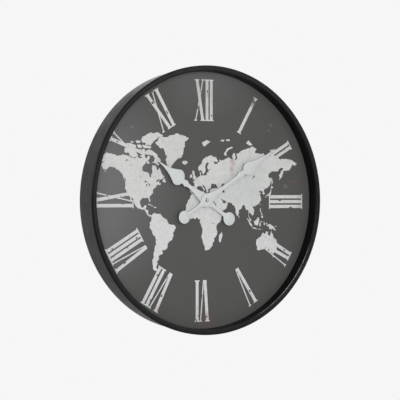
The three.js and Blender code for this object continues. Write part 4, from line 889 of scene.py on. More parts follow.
# Coasts as longitude and latitude in degrees.
LAND = {
    "north_america": (
        (-168, 65.6), (-164, 66.6), (-161.8, 66.3), (-163.8, 67.6), (-166.4, 68.4), (-163, 69.4),
        (-156.6, 71.3), (-151, 70.5), (-144, 70), (-136.5, 69), (-133, 69.6), (-128, 70.5), (-125, 69.6),
        (-115, 68.7), (-114.5, 67.9), (-109, 67.9), (-107.8, 66.6), (-106.5, 68.4), (-101.5, 67.7),
        (-95.5, 68), (-96, 70), (-95, 71.9), (-92.5, 71), (-91.5, 69.6), (-86.5, 67.3), (-85.5, 69.3),
        (-82, 69.6), (-81.3, 68.2), (-83.5, 66.3), (-87, 65.4), (-89, 64), (-93, 62.2), (-94.7, 58.8),
        (-92.5, 57), (-88, 56.5), (-82.3, 55.1), (-82.2, 52.9), (-80, 51.2), (-78.8, 51.8), (-79.2, 54),
        (-76.6, 56.2), (-78, 60), (-77.5, 62.4), (-73.5, 62.4), (-70, 61), (-69.5, 59.2), (-67.5, 58.3),
        (-64.5, 60.4), (-62, 57.8), (-60, 55.2), (-55.8, 52.6), (-60.2, 50.2), (-66.4, 50.2),
        (-70.5, 47.2), (-64.4, 48.8), (-64.6, 46.2), (-60.2, 46.4), (-65.8, 43.5), (-64.8, 45.3),
        (-70.3, 43.5), (-70, 41.7), (-74, 40.6), (-75.8, 37.2), (-75.6, 35.2), (-79, 33.2), (-81.4, 30.8),
        (-80.1, 26.8), (-80.8, 25.2), (-82.7, 28), (-84, 30), (-89.3, 29.2), (-94.8, 29.3), (-97.4, 27.2),
        (-97.7, 22.5), (-95.6, 18.7), (-92, 18.6), (-90.4, 21), (-87, 21.4), (-88.6, 16), (-83.3, 15),
        (-83.6, 11), (-81.5, 8.9), (-79.6, 9.5), (-77, 8.4), (-78.2, 7.4), (-80.4, 7.4), (-83.7, 8.6),
        (-85.8, 10.3), (-87.6, 13), (-94.3, 16.2), (-101.5, 17.6), (-105.5, 20.3), (-108.8, 25.4),
        (-112.8, 30.4), (-114.7, 31.7), (-112.6, 28), (-109.6, 23.1), (-112.2, 25.4), (-115, 28.6),
        (-117.2, 32.6), (-120.6, 34.5), (-124.2, 40.2), (-124, 46.2), (-124.6, 48.3), (-122.6, 47.6),
        (-123, 49.3), (-128, 52), (-130.3, 55), (-136, 58.3), (-144, 60), (-148, 60.8), (-151.8, 59.3),
        (-150.5, 61), (-154, 59.2), (-158, 56.6), (-164.6, 54.6), (-158, 57.8), (-157.2, 58.8),
        (-162, 58.8), (-165.5, 61.4), (-164.6, 63.2), (-161, 64.4), (-166, 64.5),
    ),
    "south_america": (
        (-78, 8), (-75.5, 10.6), (-71.6, 12.3), (-71.6, 10.6), (-68, 10.8), (-62, 10.7), (-60, 8.4),
        (-57, 6), (-51.8, 4.4), (-50, 1.4), (-48, -0.9), (-44.3, -2.5), (-39.5, -2.9), (-35.2, -5.3),
        (-34.8, -8), (-39, -13), (-39.2, -17.8), (-41, -22), (-45, -23.6), (-48.5, -26), (-49, -28.6),
        (-53.4, -34), (-58.4, -34), (-57, -36.4), (-58, -38.3), (-62.2, -38.9), (-65, -41),
        (-63.7, -42.6), (-67.5, -46.2), (-65.8, -47.8), (-69.2, -51), (-65.2, -54.8), (-70, -55),
        (-74.6, -52), (-75.5, -47.5), (-73.4, -42), (-73.6, -37.2), (-71.5, -31), (-70.3, -24),
        (-70.3, -18.4), (-76.2, -14), (-79.4, -8), (-81.2, -5.4), (-80, -3.3), (-80.8, -1), (-77.4, 4),
        (-77.6, 7),
    ),
    "greenland": (
        (-73, 78.2), (-67, 80), (-60, 82), (-46, 82.6), (-32, 83.6), (-22, 82.4), (-12.5, 81.4),
        (-18.5, 79.6), (-19, 76.6), (-22, 74), (-22.5, 71.5), (-27, 68.6), (-33, 67.6), (-37.5, 65.8),
        (-41, 63.6), (-43.4, 60), (-48, 60.9), (-51.6, 63.8), (-53.7, 67), (-51, 69.4), (-54.6, 71),
        (-58, 75), (-66, 76),
    ),
    "ellesmere": (
        (-90, 76.4), (-80, 76.1), (-77.5, 77.8), (-73.5, 79.4), (-69, 80.4), (-62, 81.6), (-58, 82.3),
        (-64, 83.1), (-76, 83.2), (-88, 82.4), (-95, 81.4), (-97.5, 79.6), (-95, 78), (-89, 77.8),
    ),
    "baffin": (
        (-85, 73.8), (-80.5, 73.7), (-76, 72.7), (-68, 70.3), (-64, 67.6), (-61.6, 66.7), (-66, 65.8),
        (-67, 63.8), (-64.8, 63), (-68, 62.4), (-73.5, 64.4), (-78, 64.5), (-73.6, 66.4), (-73, 68.2),
        (-79, 70), (-88, 70.6), (-89.6, 72.8),
    ),
    "victoria": (
        (-119, 71.4), (-116.5, 69.2), (-113, 68.5), (-105, 68.9), (-101.4, 69.8), (-104.6, 71.2),
        (-105, 73.8), (-113, 74.6), (-118.5, 73.2),
    ),
    "banks": ((-126, 71.8), (-122.6, 71.1), (-118.5, 72), (-115, 74.6), (-121, 75.2), (-125.4, 74.4)),
    "prince_of_wales": ((-102.6, 73.4), (-99, 71.4), (-96.4, 71.8), (-97, 74)),
    "somerset": ((-95.8, 74), (-95.4, 72), (-89.6, 72.6), (-91, 74.2)),
    "king_william": ((-99.4, 69.6), (-97, 68.5), (-95, 69.1), (-97, 70)),
    "melville": (
        (-124, 76.2), (-121, 74.9), (-113, 74.4), (-105.5, 74.9), (-106.5, 76.4), (-112, 77),
        (-118, 77.6), (-123, 77.4),
    ),
    "borden": ((-116, 78.4), (-112.5, 77.6), (-109.6, 78.2), (-113, 78.8)),
    "ringnes": ((-107, 79), (-104.4, 77.6), (-99, 77.9), (-97.4, 78.8), (-101.5, 79.2)),
    "bathurst": ((-104.6, 76.6), (-102.6, 75), (-96.4, 74.7), (-95.4, 75.9), (-99.4, 76.9)),
    "devon": ((-95.8, 76.9), (-92, 74.7), (-80, 74.6), (-79.6, 75.7), (-89, 76.3)),
    "southampton": ((-86.6, 66), (-81, 64.2), (-86, 63.3), (-87, 64.6)),
    "newfoundland": ((-59.3, 47.8), (-53.2, 46.8), (-53.4, 48.6), (-56, 51.4), (-58, 49.6)),
    "vancouver": ((-128.3, 50.7), (-123.6, 48.5), (-125.4, 48.8)),
    "cuba": ((-84.8, 21.9), (-82, 23.1), (-74.4, 20.2), (-77.6, 19.9), (-78.6, 21.4)),
    "hispaniola": ((-74.2, 18.4), (-72.8, 19.8), (-68.5, 18.6), (-71.4, 17.8)),
    "iceland": ((-24.2, 65.5), (-22.4, 66.4), (-16, 66.5), (-13.7, 65), (-18.6, 63.4), (-22.6, 63.9)),
    "britain": (
        (-5.6, 50.1), (1.2, 51.1), (1.7, 52.7), (-1.6, 55), (-1.9, 57.5), (-3.2, 58.6), (-5, 58.6),
        (-6, 56.6), (-4.8, 54.8), (-3, 53.8), (-4.6, 53), (-5, 51.8), (-3, 51.3),
    ),
    "ireland": ((-10, 51.7), (-6.3, 52.2), (-5.6, 54.5), (-7.6, 55.3), (-10, 54)),
    "svalbard": ((11, 79.2), (15.6, 76.7), (21, 78.2), (27, 79.8), (20, 80.5)),
    "franz_josef_west": ((45, 80.2), (51, 80), (53, 80.9), (47, 81)),
    "franz_josef_east": ((55, 80.4), (62, 80.3), (63, 81.2), (57, 81.4)),
    "novaya_zemlya": (
        (51.6, 71.6), (57.4, 70.6), (56, 72.8), (60, 74.8), (68.8, 76.6), (66.4, 77.1), (57.5, 75.8),
        (53, 73.2),
    ),
    "severnaya_zemlya": ((93, 79.4), (100, 78), (105, 78.6), (97, 81.1)),
    "new_siberian": ((137.5, 75.6), (143, 73.3), (150, 75), (143, 76)),
    "eurasia": (
        (-5.5, 36.1), (-8.9, 37), (-9.4, 38.8), (-9.2, 43.1), (-1.8, 43.4), (-1.2, 45.6), (-4.7, 48.3),
        (-1.6, 48.7), (-1.8, 49.7), (1.6, 50.9), (4.6, 52.8), (8.6, 53.8), (8.2, 57), (10.6, 57.7),
        (9.9, 54.8), (11.4, 54), (19.6, 54.4), (21.4, 57.4), (24.2, 57.2), (23.6, 59.2), (29.8, 59.9),
        (23, 59.9), (21.4, 62.6), (25.2, 65), (22, 65.7), (17.4, 62.2), (18.6, 60), (16.4, 56.6),
        (12.9, 55.5), (10.6, 59.3), (7, 58), (5.2, 60), (6, 62.4), (11, 64.6), (15, 68.4), (19, 69.9),
        (27.6, 71.1), (31.4, 70.2), (41, 67.2), (38, 66.1), (33, 66.7), (35, 64.4), (40, 64.7),
        (40.4, 66), (44, 66.2), (43.8, 68.2), (54, 68.5), (60.4, 69.8), (68.2, 68.2), (67, 71.4),
        (70, 73.2), (72.6, 72.6), (72.6, 68.8), (71.6, 66.4), (74.4, 68), (75, 72.4), (81, 73.5),
        (87, 75), (99, 76.3), (104.4, 77.7), (113, 75.8), (109.6, 73.4), (118, 73.2), (127, 73.4),
        (129.6, 71.2), (139.4, 72.2), (146, 72.4), (152, 70.9), (160.6, 69.6), (170, 69.8), (180, 68.9),
        (190, 66.1), (186.6, 64.4), (181, 65.6), (178.8, 62.6), (170.4, 60), (164, 59.8), (162.6, 56.2),
        (160, 53.2), (156.7, 51), (155.6, 55.6), (159.6, 59.6), (164.4, 62.6), (157.4, 61.7),
        (154.6, 59.5), (143, 59.3), (135.3, 54.7), (141.2, 53.2), (140.3, 48.4), (135.4, 43.8),
        (130.8, 42.4), (127.6, 39.8), (129.4, 36.4), (126.5, 34.4), (125.2, 39.4), (121.6, 38.9),
        (121.4, 40.8), (117.8, 39), (119.2, 37.3), (122.5, 37.2), (119.3, 35), (121.9, 31), (119.6, 25.8),
        (114.2, 22.3), (110.2, 20.5), (108.2, 21.6), (106, 19.4), (109.2, 14), (109, 11.4), (105, 8.7),
        (104.8, 10.5), (100.8, 13.4), (99.3, 9.6), (103.4, 4.4), (104.2, 1.4), (101, 3), (100.2, 6.4),
        (98.4, 8.2), (97.6, 16.4), (94.4, 16), (91.8, 22.4), (87, 21.4), (82.3, 16.7), (80.2, 15.2),
        (79.8, 10.3), (77.6, 8.1), (74.6, 13.8), (72.8, 20.8), (69.2, 22.2), (66.6, 25.2), (57.4, 25.7),
        (56.4, 27.1), (51.6, 27.9), (48.6, 30.2), (48, 29.4), (50.8, 25), (54.4, 24.2), (56.3, 26.2),
        (59.8, 22.5), (57.8, 18.9), (52.2, 15.6), (43.5, 12.7), (42.7, 16.2), (38.8, 22), (34.9, 28.1),
        (35, 29.5), (34.2, 27.9), (32, 29.9), (31.8, 31.3), (34.4, 31.5), (36, 36.6), (30.6, 36.6),
        (27.4, 36.8), (26.4, 39.4), (29.2, 40.9), (35, 41.9), (41.4, 41.4), (38.8, 44.4), (36.6, 46.4),
        (33.4, 46.1), (30.8, 46.8), (28.6, 43.8), (27.9, 41.9), (26.2, 40.8), (23, 40.5), (23.8, 38),
        (22.4, 36.5), (19.6, 40.4), (18.6, 42.4), (14, 45.2), (12.5, 44.8), (13.8, 43.2), (18.4, 40.1),
        (16.9, 40.2), (15.9, 38), (15, 40.2), (10.4, 43.8), (7.4, 43.7), (3.4, 43.2), (3.1, 41.9),
        (-0.2, 39.4), (-1, 37.6), (-4.4, 36.7),
    ),
    "sicily": ((12.5, 38), (15.5, 38.2), (15.1, 36.7)),
    "africa": (
        (-5.9, 35.8), (-2, 35.1), (3, 36.8), (10.4, 37.3), (10.3, 34.2), (15.3, 32.3), (19.4, 30.4),
        (22, 32.8), (29, 31), (33, 31.2), (32.6, 29.6), (35.6, 24), (37.3, 19.6), (39.6, 15.3),
        (43.2, 11.8), (51.2, 11.9), (48, 4.6), (42.6, -0.8), (39, -6), (40.6, -10.7), (40.6, -15.4),
        (34.8, -20), (35.4, -23.8), (32.7, -26), (31, -30), (26.4, -33.8), (20, -34.8), (18.2, -33),
        (15.2, -26.6), (14.4, -22), (11.8, -17.6), (13.7, -11.4), (12, -5.4), (8.9, -0.8), (9.7, 3.8),
        (6, 4.3), (4.4, 6.3), (-2, 4.8), (-7.6, 4.4), (-13, 8.8), (-16.8, 12.6), (-17.4, 14.8),
        (-16.4, 19), (-17, 21), (-13, 27.7), (-9.8, 29.8), (-6.8, 34),
    ),
    "madagascar": ((49.3, -12), (50.4, -15.8), (47.2, -24.8), (45, -25.4), (43.5, -22), (44.4, -16.4)),
    "sri_lanka": ((79.9, 9.6), (81.8, 7.4), (80.4, 6)),
    "sakhalin": ((142.2, 54.2), (143.2, 51.4), (144.6, 49), (142.8, 46.8), (142, 46), (142, 50)),
    "hokkaido": ((140.2, 41.6), (145.4, 43.3), (141.8, 45.4)),
    "honshu": (
        (131, 34), (136, 35.8), (139.4, 38.4), (140.4, 41.2), (141.8, 40.8), (140.8, 35.8), (135.8, 33.6),
    ),
    "kyushu": ((129.8, 33.2), (131.8, 33.6), (131.2, 31.3)),
    "taiwan": ((120.2, 23), (121.6, 25.2), (120.9, 22)),
    "luzon": ((120.2, 16), (120.8, 18.5), (122.2, 18.2), (121.6, 15.6), (124, 12.8), (120.8, 13.8)),
    "mindanao": ((122.2, 7), (125.4, 9.7), (126.4, 7.4), (125.4, 5.8)),
    "visayas": ((122, 11.6), (125, 12), (124.6, 10), (122.6, 9.6)),
    "borneo": (
        (109, 1.6), (113, 3.3), (116.8, 7), (119.2, 5.2), (118.6, 1.2), (116.3, -3.6), (114.4, -4),
        (110.2, -2.6),
    ),
    "sumatra": (
        (95.3, 5.6), (97.6, 5.1), (103.6, -1), (106, -3.2), (105.6, -5.8), (101, -2.6), (98.6, 1.7),
    ),
    "java": ((105.3, -6.6), (110.8, -6.4), (114.5, -7.8), (114.3, -8.7), (106.4, -7.5)),
    "sunda": ((116, -8.3), (123, -8.3), (122.6, -9), (116.6, -9.1)),
    "timor": ((123.6, -10.3), (127.2, -8.4), (125, -9.4)),
    "sulawesi": (
        (119.4, -5.4), (120.4, -5.5), (120.6, -3), (122.4, -5), (122.8, -4), (121.4, -2), (123.3, -1),
        (120.6, -1.2), (120.4, 0.4), (124.8, 0.6), (125, 1.6), (120.4, 1.3), (119.2, -2.6),
    ),
    "moluccas": ((127.6, 2), (128.6, 0.6), (130.6, -3.4), (128, -3.3)),
    "new_guinea": (
        (131, -0.8), (134, -0.8), (135, -3.2), (138, -1.7), (145.6, -4.6), (147.6, -6.2), (147.2, -7),
        (150.8, -10.4), (147.4, -9.8), (144, -7.7), (142.4, -9.2), (138, -8.2), (138, -5.6), (133, -4),
        (134, -2.6), (131.4, -1.6),
    ),
    "new_britain": ((148.4, -5.8), (152.2, -4.2), (151, -6)),
    "australia": (
        (114, -22), (113.6, -25.6), (115.7, -31.8), (115.2, -34.3), (118, -35), (123.8, -33.8),
        (131.4, -31.5), (135.8, -34.8), (137.8, -33), (138.4, -35.4), (140, -37.8), (146.3, -39),
        (150, -37.4), (153.2, -31), (153.2, -26), (149.4, -21), (146, -18.8), (145.3, -15), (143.6, -14),
        (142.6, -10.8), (141.6, -13), (140.6, -17.5), (135.6, -15), (136.8, -12.2), (132.6, -11.4),
        (129.8, -14.9), (126, -14), (122.2, -18), (117, -20.7),
    ),
    "tasmania": ((144.7, -40.8), (148.3, -41), (146.6, -43.5)),
}

WATER = {
    "caspian": (
        (47.4, 45.4), (50, 46.8), (53, 46.6), (50.6, 44.3), (52.8, 41.2), (53.9, 37), (50.4, 36.8),
        (49, 38.6), (49.6, 40.4),
    ),
    "superior": ((-92, 46.7), (-88.6, 48.6), (-84.6, 46.8), (-88, 46.8)),
    "michigan": ((-87.8, 41.8), (-86.4, 42.6), (-85, 45.8), (-87.6, 44.8)),
    "huron": ((-82.4, 43), (-80, 44.8), (-84, 46)),
    "erie": ((-83.2, 41.6), (-79, 42.8), (-81.4, 42.8)),
    "winnipeg": ((-97, 50.6), (-96.6, 52.4), (-98.8, 53.8)),
    "slave": ((-116.6, 61), (-110, 62.8), (-113.6, 62.4)),
    "bear": ((-124.4, 65.2), (-118.4, 66), (-122, 66.8)),
    "aral": ((58.4, 44), (61.4, 44.2), (60.6, 46.4), (58.6, 45.8)),
    "baikal": ((103.8, 51.5), (109.8, 53.6), (109.6, 55.8)),
    "victoria_lake": ((31.8, -0.8), (34, 0), (33, -2.4)),
}

NUMERALS = ("I", "II", "III", "IV", "V", "VI", "VII", "VIII", "IX", "X", "XI", "XII")
HOURS = range(1, len(NUMERALS) + 1)
NUMERAL_INNER = 179.3
NUMERAL_HEIGHT = 92.7

# How far the print sets each numeral aside clockwise and outwards from an even ring, in millimetres.
NUMERAL_SHIFTS = (
    (3.6, -1.9), (6.3, -6.9), (3.7, -4.6), (4.5, -5.3), (3.5, -1.9), (5.3, -0.5), (6.1, 3.6), (4.3, 0.7),
    (2.7, 2.5), (3.6, 2.9), (0.2, 3.0), (-0.9, -1.9),
)
THICK = 7.5
THIN = 2.8
LETTER_GAP = 3.6
V_WIDTH = 23.2
V_POINT = 1.7
V_JOIN = 2.2
X_WIDTH = 24.0
X_THICK_INSET = 1.2
X_THIN_INSET = 2.0
SERIF_REACH = 2.4
SERIF_EDGE = 1.6
SERIF_HEIGHT = 3.4

# Rubbed-off spots on the numerals: hour, place across and up the numeral, half width and half height.
WORN_SPOTS = (
    (1, 0.0, 82.0, 7.0, 3.2), (1, -4.5, 89.0, 4.0, 3.0), (2, -2.0, 89.0, 2.0, 3.0),
    (2, 8.0, 40.0, 2.0, 4.0), (3, 14.0, 60.0, 2.6, 4.0), (3, -3.0, 30.0, 1.8, 5.0),
    (4, -13.0, 72.0, 2.4, 3.4), (5, -6.0, 62.0, 2.6, 4.2), (6, 2.0, 36.0, 2.6, 8.0),
    (6, -12.0, 82.0, 2.2, 3.4), (6, 15.0, 90.0, 2.0, 4.0), (7, -15.0, 55.0, 2.2, 4.0),
    (7, 4.0, 77.0, 2.0, 5.0),
    (7, 17.0, 20.0, 2.4, 3.2), (8, -20.0, 64.0, 2.2, 5.0), (8, 6.0, 42.0, 1.8, 4.0),
    (8, 22.0, 76.0, 2.0, 3.4), (8, 12.0, 12.0, 2.6, 3.0), (9, -10.0, 28.0, 2.0, 5.0),
    (9, 8.0, 66.0, 2.4, 3.0), (10, -4.0, 74.0, 2.2, 5.0), (11, -9.0, 70.0, 2.6, 4.0),
    (11, 13.0, 34.0, 2.0, 6.0), (11, 2.0, 92.0, 3.0, 3.0), (12, -16.0, 30.0, 1.8, 4.0),
    (12, 9.0, 66.0, 1.8, 5.0), (12, 20.0, 12.0, 2.0, 3.0),
)
WORN_POINTS = 11
WORN_LEAST = 0.55
WORN_MOST = 1.1


def on_map(longitude, latitude):
    """A point of the world on the clock face, in a cylindrical projection that eases the far north."""
    slant = math.pi / 4 + PROJECTION_SHARE * math.radians(latitude)
    height = PROJECTION_STRETCH * math.log(math.tan(slant))
    level = Vector((MAP_DEGREE * (longitude - MAP_MIDDLE), MAP_HEIGHT * height - MAP_DROP))
    return Matrix.Rotation(-math.radians(MAP_TURN), 2) @ level


def ragged(start, end, share, draw):
    """Points from start up to end, with the small bays of a coast between them."""
    way = end - start
    if way.length < COAST_STEP:
        return [start]
    aside = max(-COAST_LIMIT, min(COAST_LIMIT, draw.gauss(0.0, COAST_RAGGED))) * share
    middle = start.lerp(end, 0.5) + Vector((-way.y, way.x)) * aside
    return ragged(start, middle, share, draw) + ragged(middle, end, share, draw)


def coast(corners, draw):
    """An outline of land or water, less ragged where it is small."""
    stations = [on_map(*corner) for corner in corners]
    share = min(1.0, abs(swept_area([tuple(station) for station in stations])) / COAST_FULL)
    outline = []
    for start, end in zip(stations, stations[1:] + stations[:1]):
        outline.extend(ragged(start, end, share, draw))
    return [tuple(point) for point in outline]


def stroke(low, high, width):
    """A straight stroke with level ends, between its centres at the inner and the outer end."""
    half = width / 2
    return [
        (low - half, 0.0), (low + half, 0.0), (high + half, NUMERAL_HEIGHT), (high - half, NUMERAL_HEIGHT),
    ]


def serif(middle, width, outer):
    """The foot of a stroke, bracketed into it."""
    half = width / 2
    reach = half + SERIF_REACH
    foot = [
        (middle - reach, 0.0), (middle + reach, 0.0), (middle + reach, SERIF_EDGE),
        (middle + half, SERIF_HEIGHT), (middle - half, SERIF_HEIGHT), (middle - reach, SERIF_EDGE),
    ]
    if outer:
        return [(across, NUMERAL_HEIGHT - up) for across, up in foot]
    return foot


def letter(kind, left):
    """The outlines of one letter from its left edge, and its width."""
    if kind == "I":
        middle = left + THICK / 2
        made = [stroke(middle, middle, THICK)]
        return made + [serif(middle, THICK, False), serif(middle, THICK, True)], THICK
    if kind == "V":
        heavy = left + THICK / 2
        light = left + V_WIDTH - THIN / 2
        point = left + V_WIDTH / 2
        made = [stroke(point - V_POINT, heavy, THICK), stroke(point + V_JOIN, light, THIN)]
        return made + [serif(heavy, THICK, True), serif(light, THIN, True)], V_WIDTH
    heavy_outer = left + THICK / 2 + X_THICK_INSET
    heavy_inner = left + X_WIDTH - THICK / 2
    light_outer = left + X_WIDTH - THIN / 2 - X_THIN_INSET
    light_inner = left + THIN / 2
    made = [stroke(heavy_inner, heavy_outer, THICK), stroke(light_inner, light_outer, THIN)]
    made += [serif(heavy_inner, THICK, False), serif(heavy_outer, THICK, True)]
    return made + [serif(light_inner, THIN, False), serif(light_outer, THIN, True)], X_WIDTH


def round_dial(hour, across, up):
    """A point of a numeral, turned to its hour."""
    aside, outwards = NUMERAL_SHIFTS[hour - 1]
    return spun(across + aside, NUMERAL_INNER + outwards + up, TURN * hour / len(NUMERALS))


def numeral(hour):
    """The outlines of a numeral in its place on the dial."""
    outlines = []
    left = 0.0
    for kind in NUMERALS[hour - 1]:
        made, width = letter(kind, left)
        outlines += made
        left += width + LETTER_GAP
    middle = (left - LETTER_GAP) / 2
    return [[round_dial(hour, across - middle, up) for across, up in outline] for outline in outlines]


def worn_spot(spot, draw):
    """An uneven worn patch."""
    hour, across, up, half_width, half_height = spot
    patch = []
    for k in range(WORN_POINTS):
        angle = TURN * k / WORN_POINTS
        reach = draw.uniform(WORN_LEAST, WORN_MOST)
        right = across + half_width * reach * math.cos(angle)
        patch.append(round_dial(hour, right, up + half_height * reach * math.sin(angle)))
    return patch


def dial_print():
    """The map and the numerals as one thin layer of print, cut out of overlapping outlines."""
    draw = random.Random(PRINT_SEED)
    groups = (
        [coast(corners, draw) for corners in LAND.values()],
        [coast(corners, draw) for corners in WATER.values()],
        [outline for hour in HOURS for outline in numeral(hour)],
        [worn_spot(spot, draw) for spot in WORN_SPOTS],
        [circle(DIAL_REACH, DIAL_REACH_POINTS)],
    )
    outlines = []
    members = []
    for group in groups:
        members.append(set(range(len(outlines), len(outlines) + len(group))))
        outlines += group
    land, water, strokes, worn, dial = members

    def in_numeral(around):
        return bool(around & strokes) and not around & worn

    def on_land(around):
        dry = bool(around & land) and not around & water
        return dry and bool(around & dial) and not in_numeral(around)

    layers = (("dial_map", on_land, MAP_PRINT), ("dial_numerals", in_numeral, NUMERAL_PRINT))
    for name, keep, finish in layers:
        points, triangles = filled(outlines, keep)
        piece = slab(name, points, triangles, DIAL_FACE - PRINT_THICKNESS, DIAL_FACE + PRINT_SUNK, [finish])
        hand_in(piece, "case", "dial_face")


dial_print()
dress("dial_board", DIAL)


# Hands

HUB_RADIUS = 15.0
HAND_EDGE = 0.22
HOUR_ANGLE = 304.8
MINUTE_ANGLE = 57.6
HOUR_HAND = {
    "length": 154.0, "tip": 0.9, "lobe_reach": 90.0, "lobe": 18.2, "lobe_rise": 8.5, "taper_reach": 108.0,
    "taper": 2.0, "notch_reach": 74.5, "notch": 5.7, "collar_reach": 65.0, "collar": 8.0,
    "neck_reach": 55.0, "neck": 4.2, "tail_reach": 73.5, "tail_disc": 15.0, "arm": 4.0,
}
MINUTE_HAND = {
    "length": 218.0, "tip": 0.8, "lobe_reach": 133.0, "lobe": 15.2, "lobe_rise": 9.0, "taper_reach": 150.0,
    "taper": 1.8, "notch_reach": 119.0, "notch": 5.6, "collar_reach": 105.0, "collar": 8.4,
    "neck_reach": 90.0, "neck": 4.0, "tail_reach": 70.0, "tail_disc": 14.3, "arm": 3.1,
}
TAIL_ANGLE = -50.0
NECK_ANGLE = 30.0
DISC_FLARE = 3.0
DISC_FLARE_PULL = 2.0
DISC_FLARE_LENGTH = 9.0
TAIL_FLARE_PULL = 4.0
TAIL_FLARE_LENGTH = 14.0
NECK_FLARE_SPREAD = 2.6
NECK_FLARE_PULL = 11.0
NECK_FLARE_LENGTH = 37.0
COLLAR_ROUND = 4.0
SHOULDER_SHARE = 0.6
SHOULDER_LIFT = 1.0
SHOULDER_RISE = 8.0
HOUR_HOLE = 3.68
MINUTE_HOLE = 2.68
ARC_STEPS = 24
CURVE_STEPS = 10


def hand_outline(size):
    """Half a spade hand from the counterweight to the tip, and its mirror image."""
    arm = size["arm"]
    neck = size["neck"]
    disc_edge = arm + DISC_FLARE
    disc_rise = math.sqrt(size["tail_disc"] ** 2 - disc_edge ** 2)
    disc_top = disc_rise - size["tail_reach"]
    disc_end = math.degrees(math.atan2(disc_rise, disc_edge))
    hub = arc((0.0, 0.0), HUB_RADIUS, TAIL_ANGLE, NECK_ANGLE, ARC_STEPS)
    collar = (size["collar"], size["collar_reach"])
    notch = (size["notch"], size["notch_reach"])
    lobe = (size["lobe"], size["lobe_reach"])
    half = arc((0.0, -size["tail_reach"]), size["tail_disc"], -90, disc_end, ARC_STEPS)
    flare_end = (arm, disc_top + DISC_FLARE_LENGTH)
    half += curve([half[-1], (arm, disc_top + DISC_FLARE_PULL), flare_end], CURVE_STEPS)
    half.append((arm, -HUB_RADIUS - TAIL_FLARE_LENGTH))
    half += curve([half[-1], (arm, -HUB_RADIUS - TAIL_FLARE_PULL), hub[0]], CURVE_STEPS)
    half += hub[1:]
    spread = (neck + NECK_FLARE_SPREAD, HUB_RADIUS + NECK_FLARE_PULL)
    half += curve([hub[-1], spread, (neck, HUB_RADIUS + NECK_FLARE_LENGTH)], CURVE_STEPS)
    half.append((neck, size["neck_reach"]))
    half += curve([half[-1], (neck, size["collar_reach"] - COLLAR_ROUND), collar], CURVE_STEPS)
    half += curve([collar, (notch[0], size["collar_reach"] + COLLAR_ROUND), notch], CURVE_STEPS)
    shoulder = (SHOULDER_SHARE * size["lobe"], notch[1] + SHOULDER_LIFT)
    half += curve([notch, shoulder, (size["lobe"], lobe[1] - SHOULDER_RISE), lobe], CURVE_STEPS)
    tip = (size["tip"], size["length"])
    taper = [lobe, (size["lobe"], lobe[1] + size["lobe_rise"]), (size["taper"], size["taper_reach"]), tip]
    half += curve(taper, ARC_STEPS)
    return half + [(-across, along) for across, along in reversed(half[1:])]


def hand(name, node, size, angle, hole):
    """A hand cut from sheet, with its edge broken."""
    outline = [spun(across, along, math.radians(angle)) for across, along in hand_outline(size)]
    points, triangles = filled([outline, circle(hole, ARC_STEPS)], lambda around: around == {0})
    front, rear = depths(node)
    return rounded(slab(name, points, triangles, front, rear, [HAND]), HAND_EDGE)


hour_hand = hand("spade_hour_hand", "hour_hand", HOUR_HAND, HOUR_ANGLE, HOUR_HOLE)
minute_hand = hand("spade_minute_hand", "minute_hand", MINUTE_HAND, MINUTE_ANGLE, MINUTE_HOLE)
hand_in(hour_hand, "hour_motion", "hand_paint", "hour_hand")
hand_in(minute_hand, "minute_motion", "hand_paint", "minute_hand")

CAP_RADIUS = 4.0
CAP_CROWN = 2.6
CAP_EDGE = 1.3
CAP_SHOULDER = 3.4
CAP_SHOULDER_DEPTH = 0.7
CAP_WALL = 1.2
CAP_BORE = 2.68
CAP_SIDES = 48


def cap_nut():
    """The domed nut on the end of the minute arbor."""
    front, rear = depths("hand_cap_nut")
    crown = [(0.0, front), (CAP_CROWN, front), (CAP_SHOULDER, front + CAP_SHOULDER_DEPTH)]
    outline = [(0.0, front)]
    outline += curve(crown + [(CAP_RADIUS, rear - CAP_EDGE)], CURVE_STEPS)
    outline += [(CAP_RADIUS, rear), (CAP_BORE, rear), (CAP_BORE, front + CAP_WALL), (0.0, front + CAP_WALL)]
    return turned("domed_cap_nut", outline, CAP_SIDES, round_axis(), [DULL_NICKEL])


hand_in(cap_nut(), "minute_motion", "nickel", "hand_cap_nut")


# Fixings behind the dial

TABS = range(1, 7)
FIRST_TAB_ANGLE = 30.0
TAB_NODE = "dial_bracket_2"
BRACKET_SHEET = 1.5
BRACKET_BEND = 2.4
BRACKET_CORNER = 3.0
SHEET_EDGE = 0.2
CORNER_SEGMENTS = 5
CORNER_MARGIN = 0.1
SCREW_REACH = 284.65
SCREW_HEAD = 3.2
SCREW_CROWN = 2.4
SCREW_CROWN_DROP = 0.4
SCREW_EDGE = 1.0
SCREW_SHANK = 1.5
SCREW_POINT = 1.0
SCREW_SIDES = 32
RECESS_ARMS = 4
RECESS_ANGLE = 45.0
RECESS_WIDTH = 0.8
RECESS_REACH = 1.8
RECESS_DEPTH = 1.1
RECESS_SPARE = 1.0


def prism(name, outline, at, start, end, finishes):
    """A straight bar with a closed outline, between two places along its length."""
    shape = bmesh.new()
    first = [shape.verts.new(at(point, start)) for point in outline]
    second = [shape.verts.new(at(point, end)) for point in outline]
    shape.faces.new(first)
    shape.faces.new(second)
    for k in range(len(outline)):
        shape.faces.new([first[k - 1], first[k], second[k], second[k - 1]])
    return finished(name, shape, finishes)


def corners_rounded(piece, at_end, radius):
    """Rounds the corners of a bent plate: its edges through the sheet with both points at an end."""
    shape = bmesh.new()
    shape.from_mesh(piece.data)
    edges = []
    for edge in shape.edges:
        first, second = (vertex.co for vertex in edge.verts)
        if abs(first.x - second.x) < MERGE and at_end(first, second):
            edges.append(edge)
    bmesh.ops.bevel(
        shape, geom=edges, offset=radius * MM, segments=CORNER_SEGMENTS, affect="EDGES", profile=0.5)
    shape.to_mesh(piece.data)
    shape.free()
    return piece


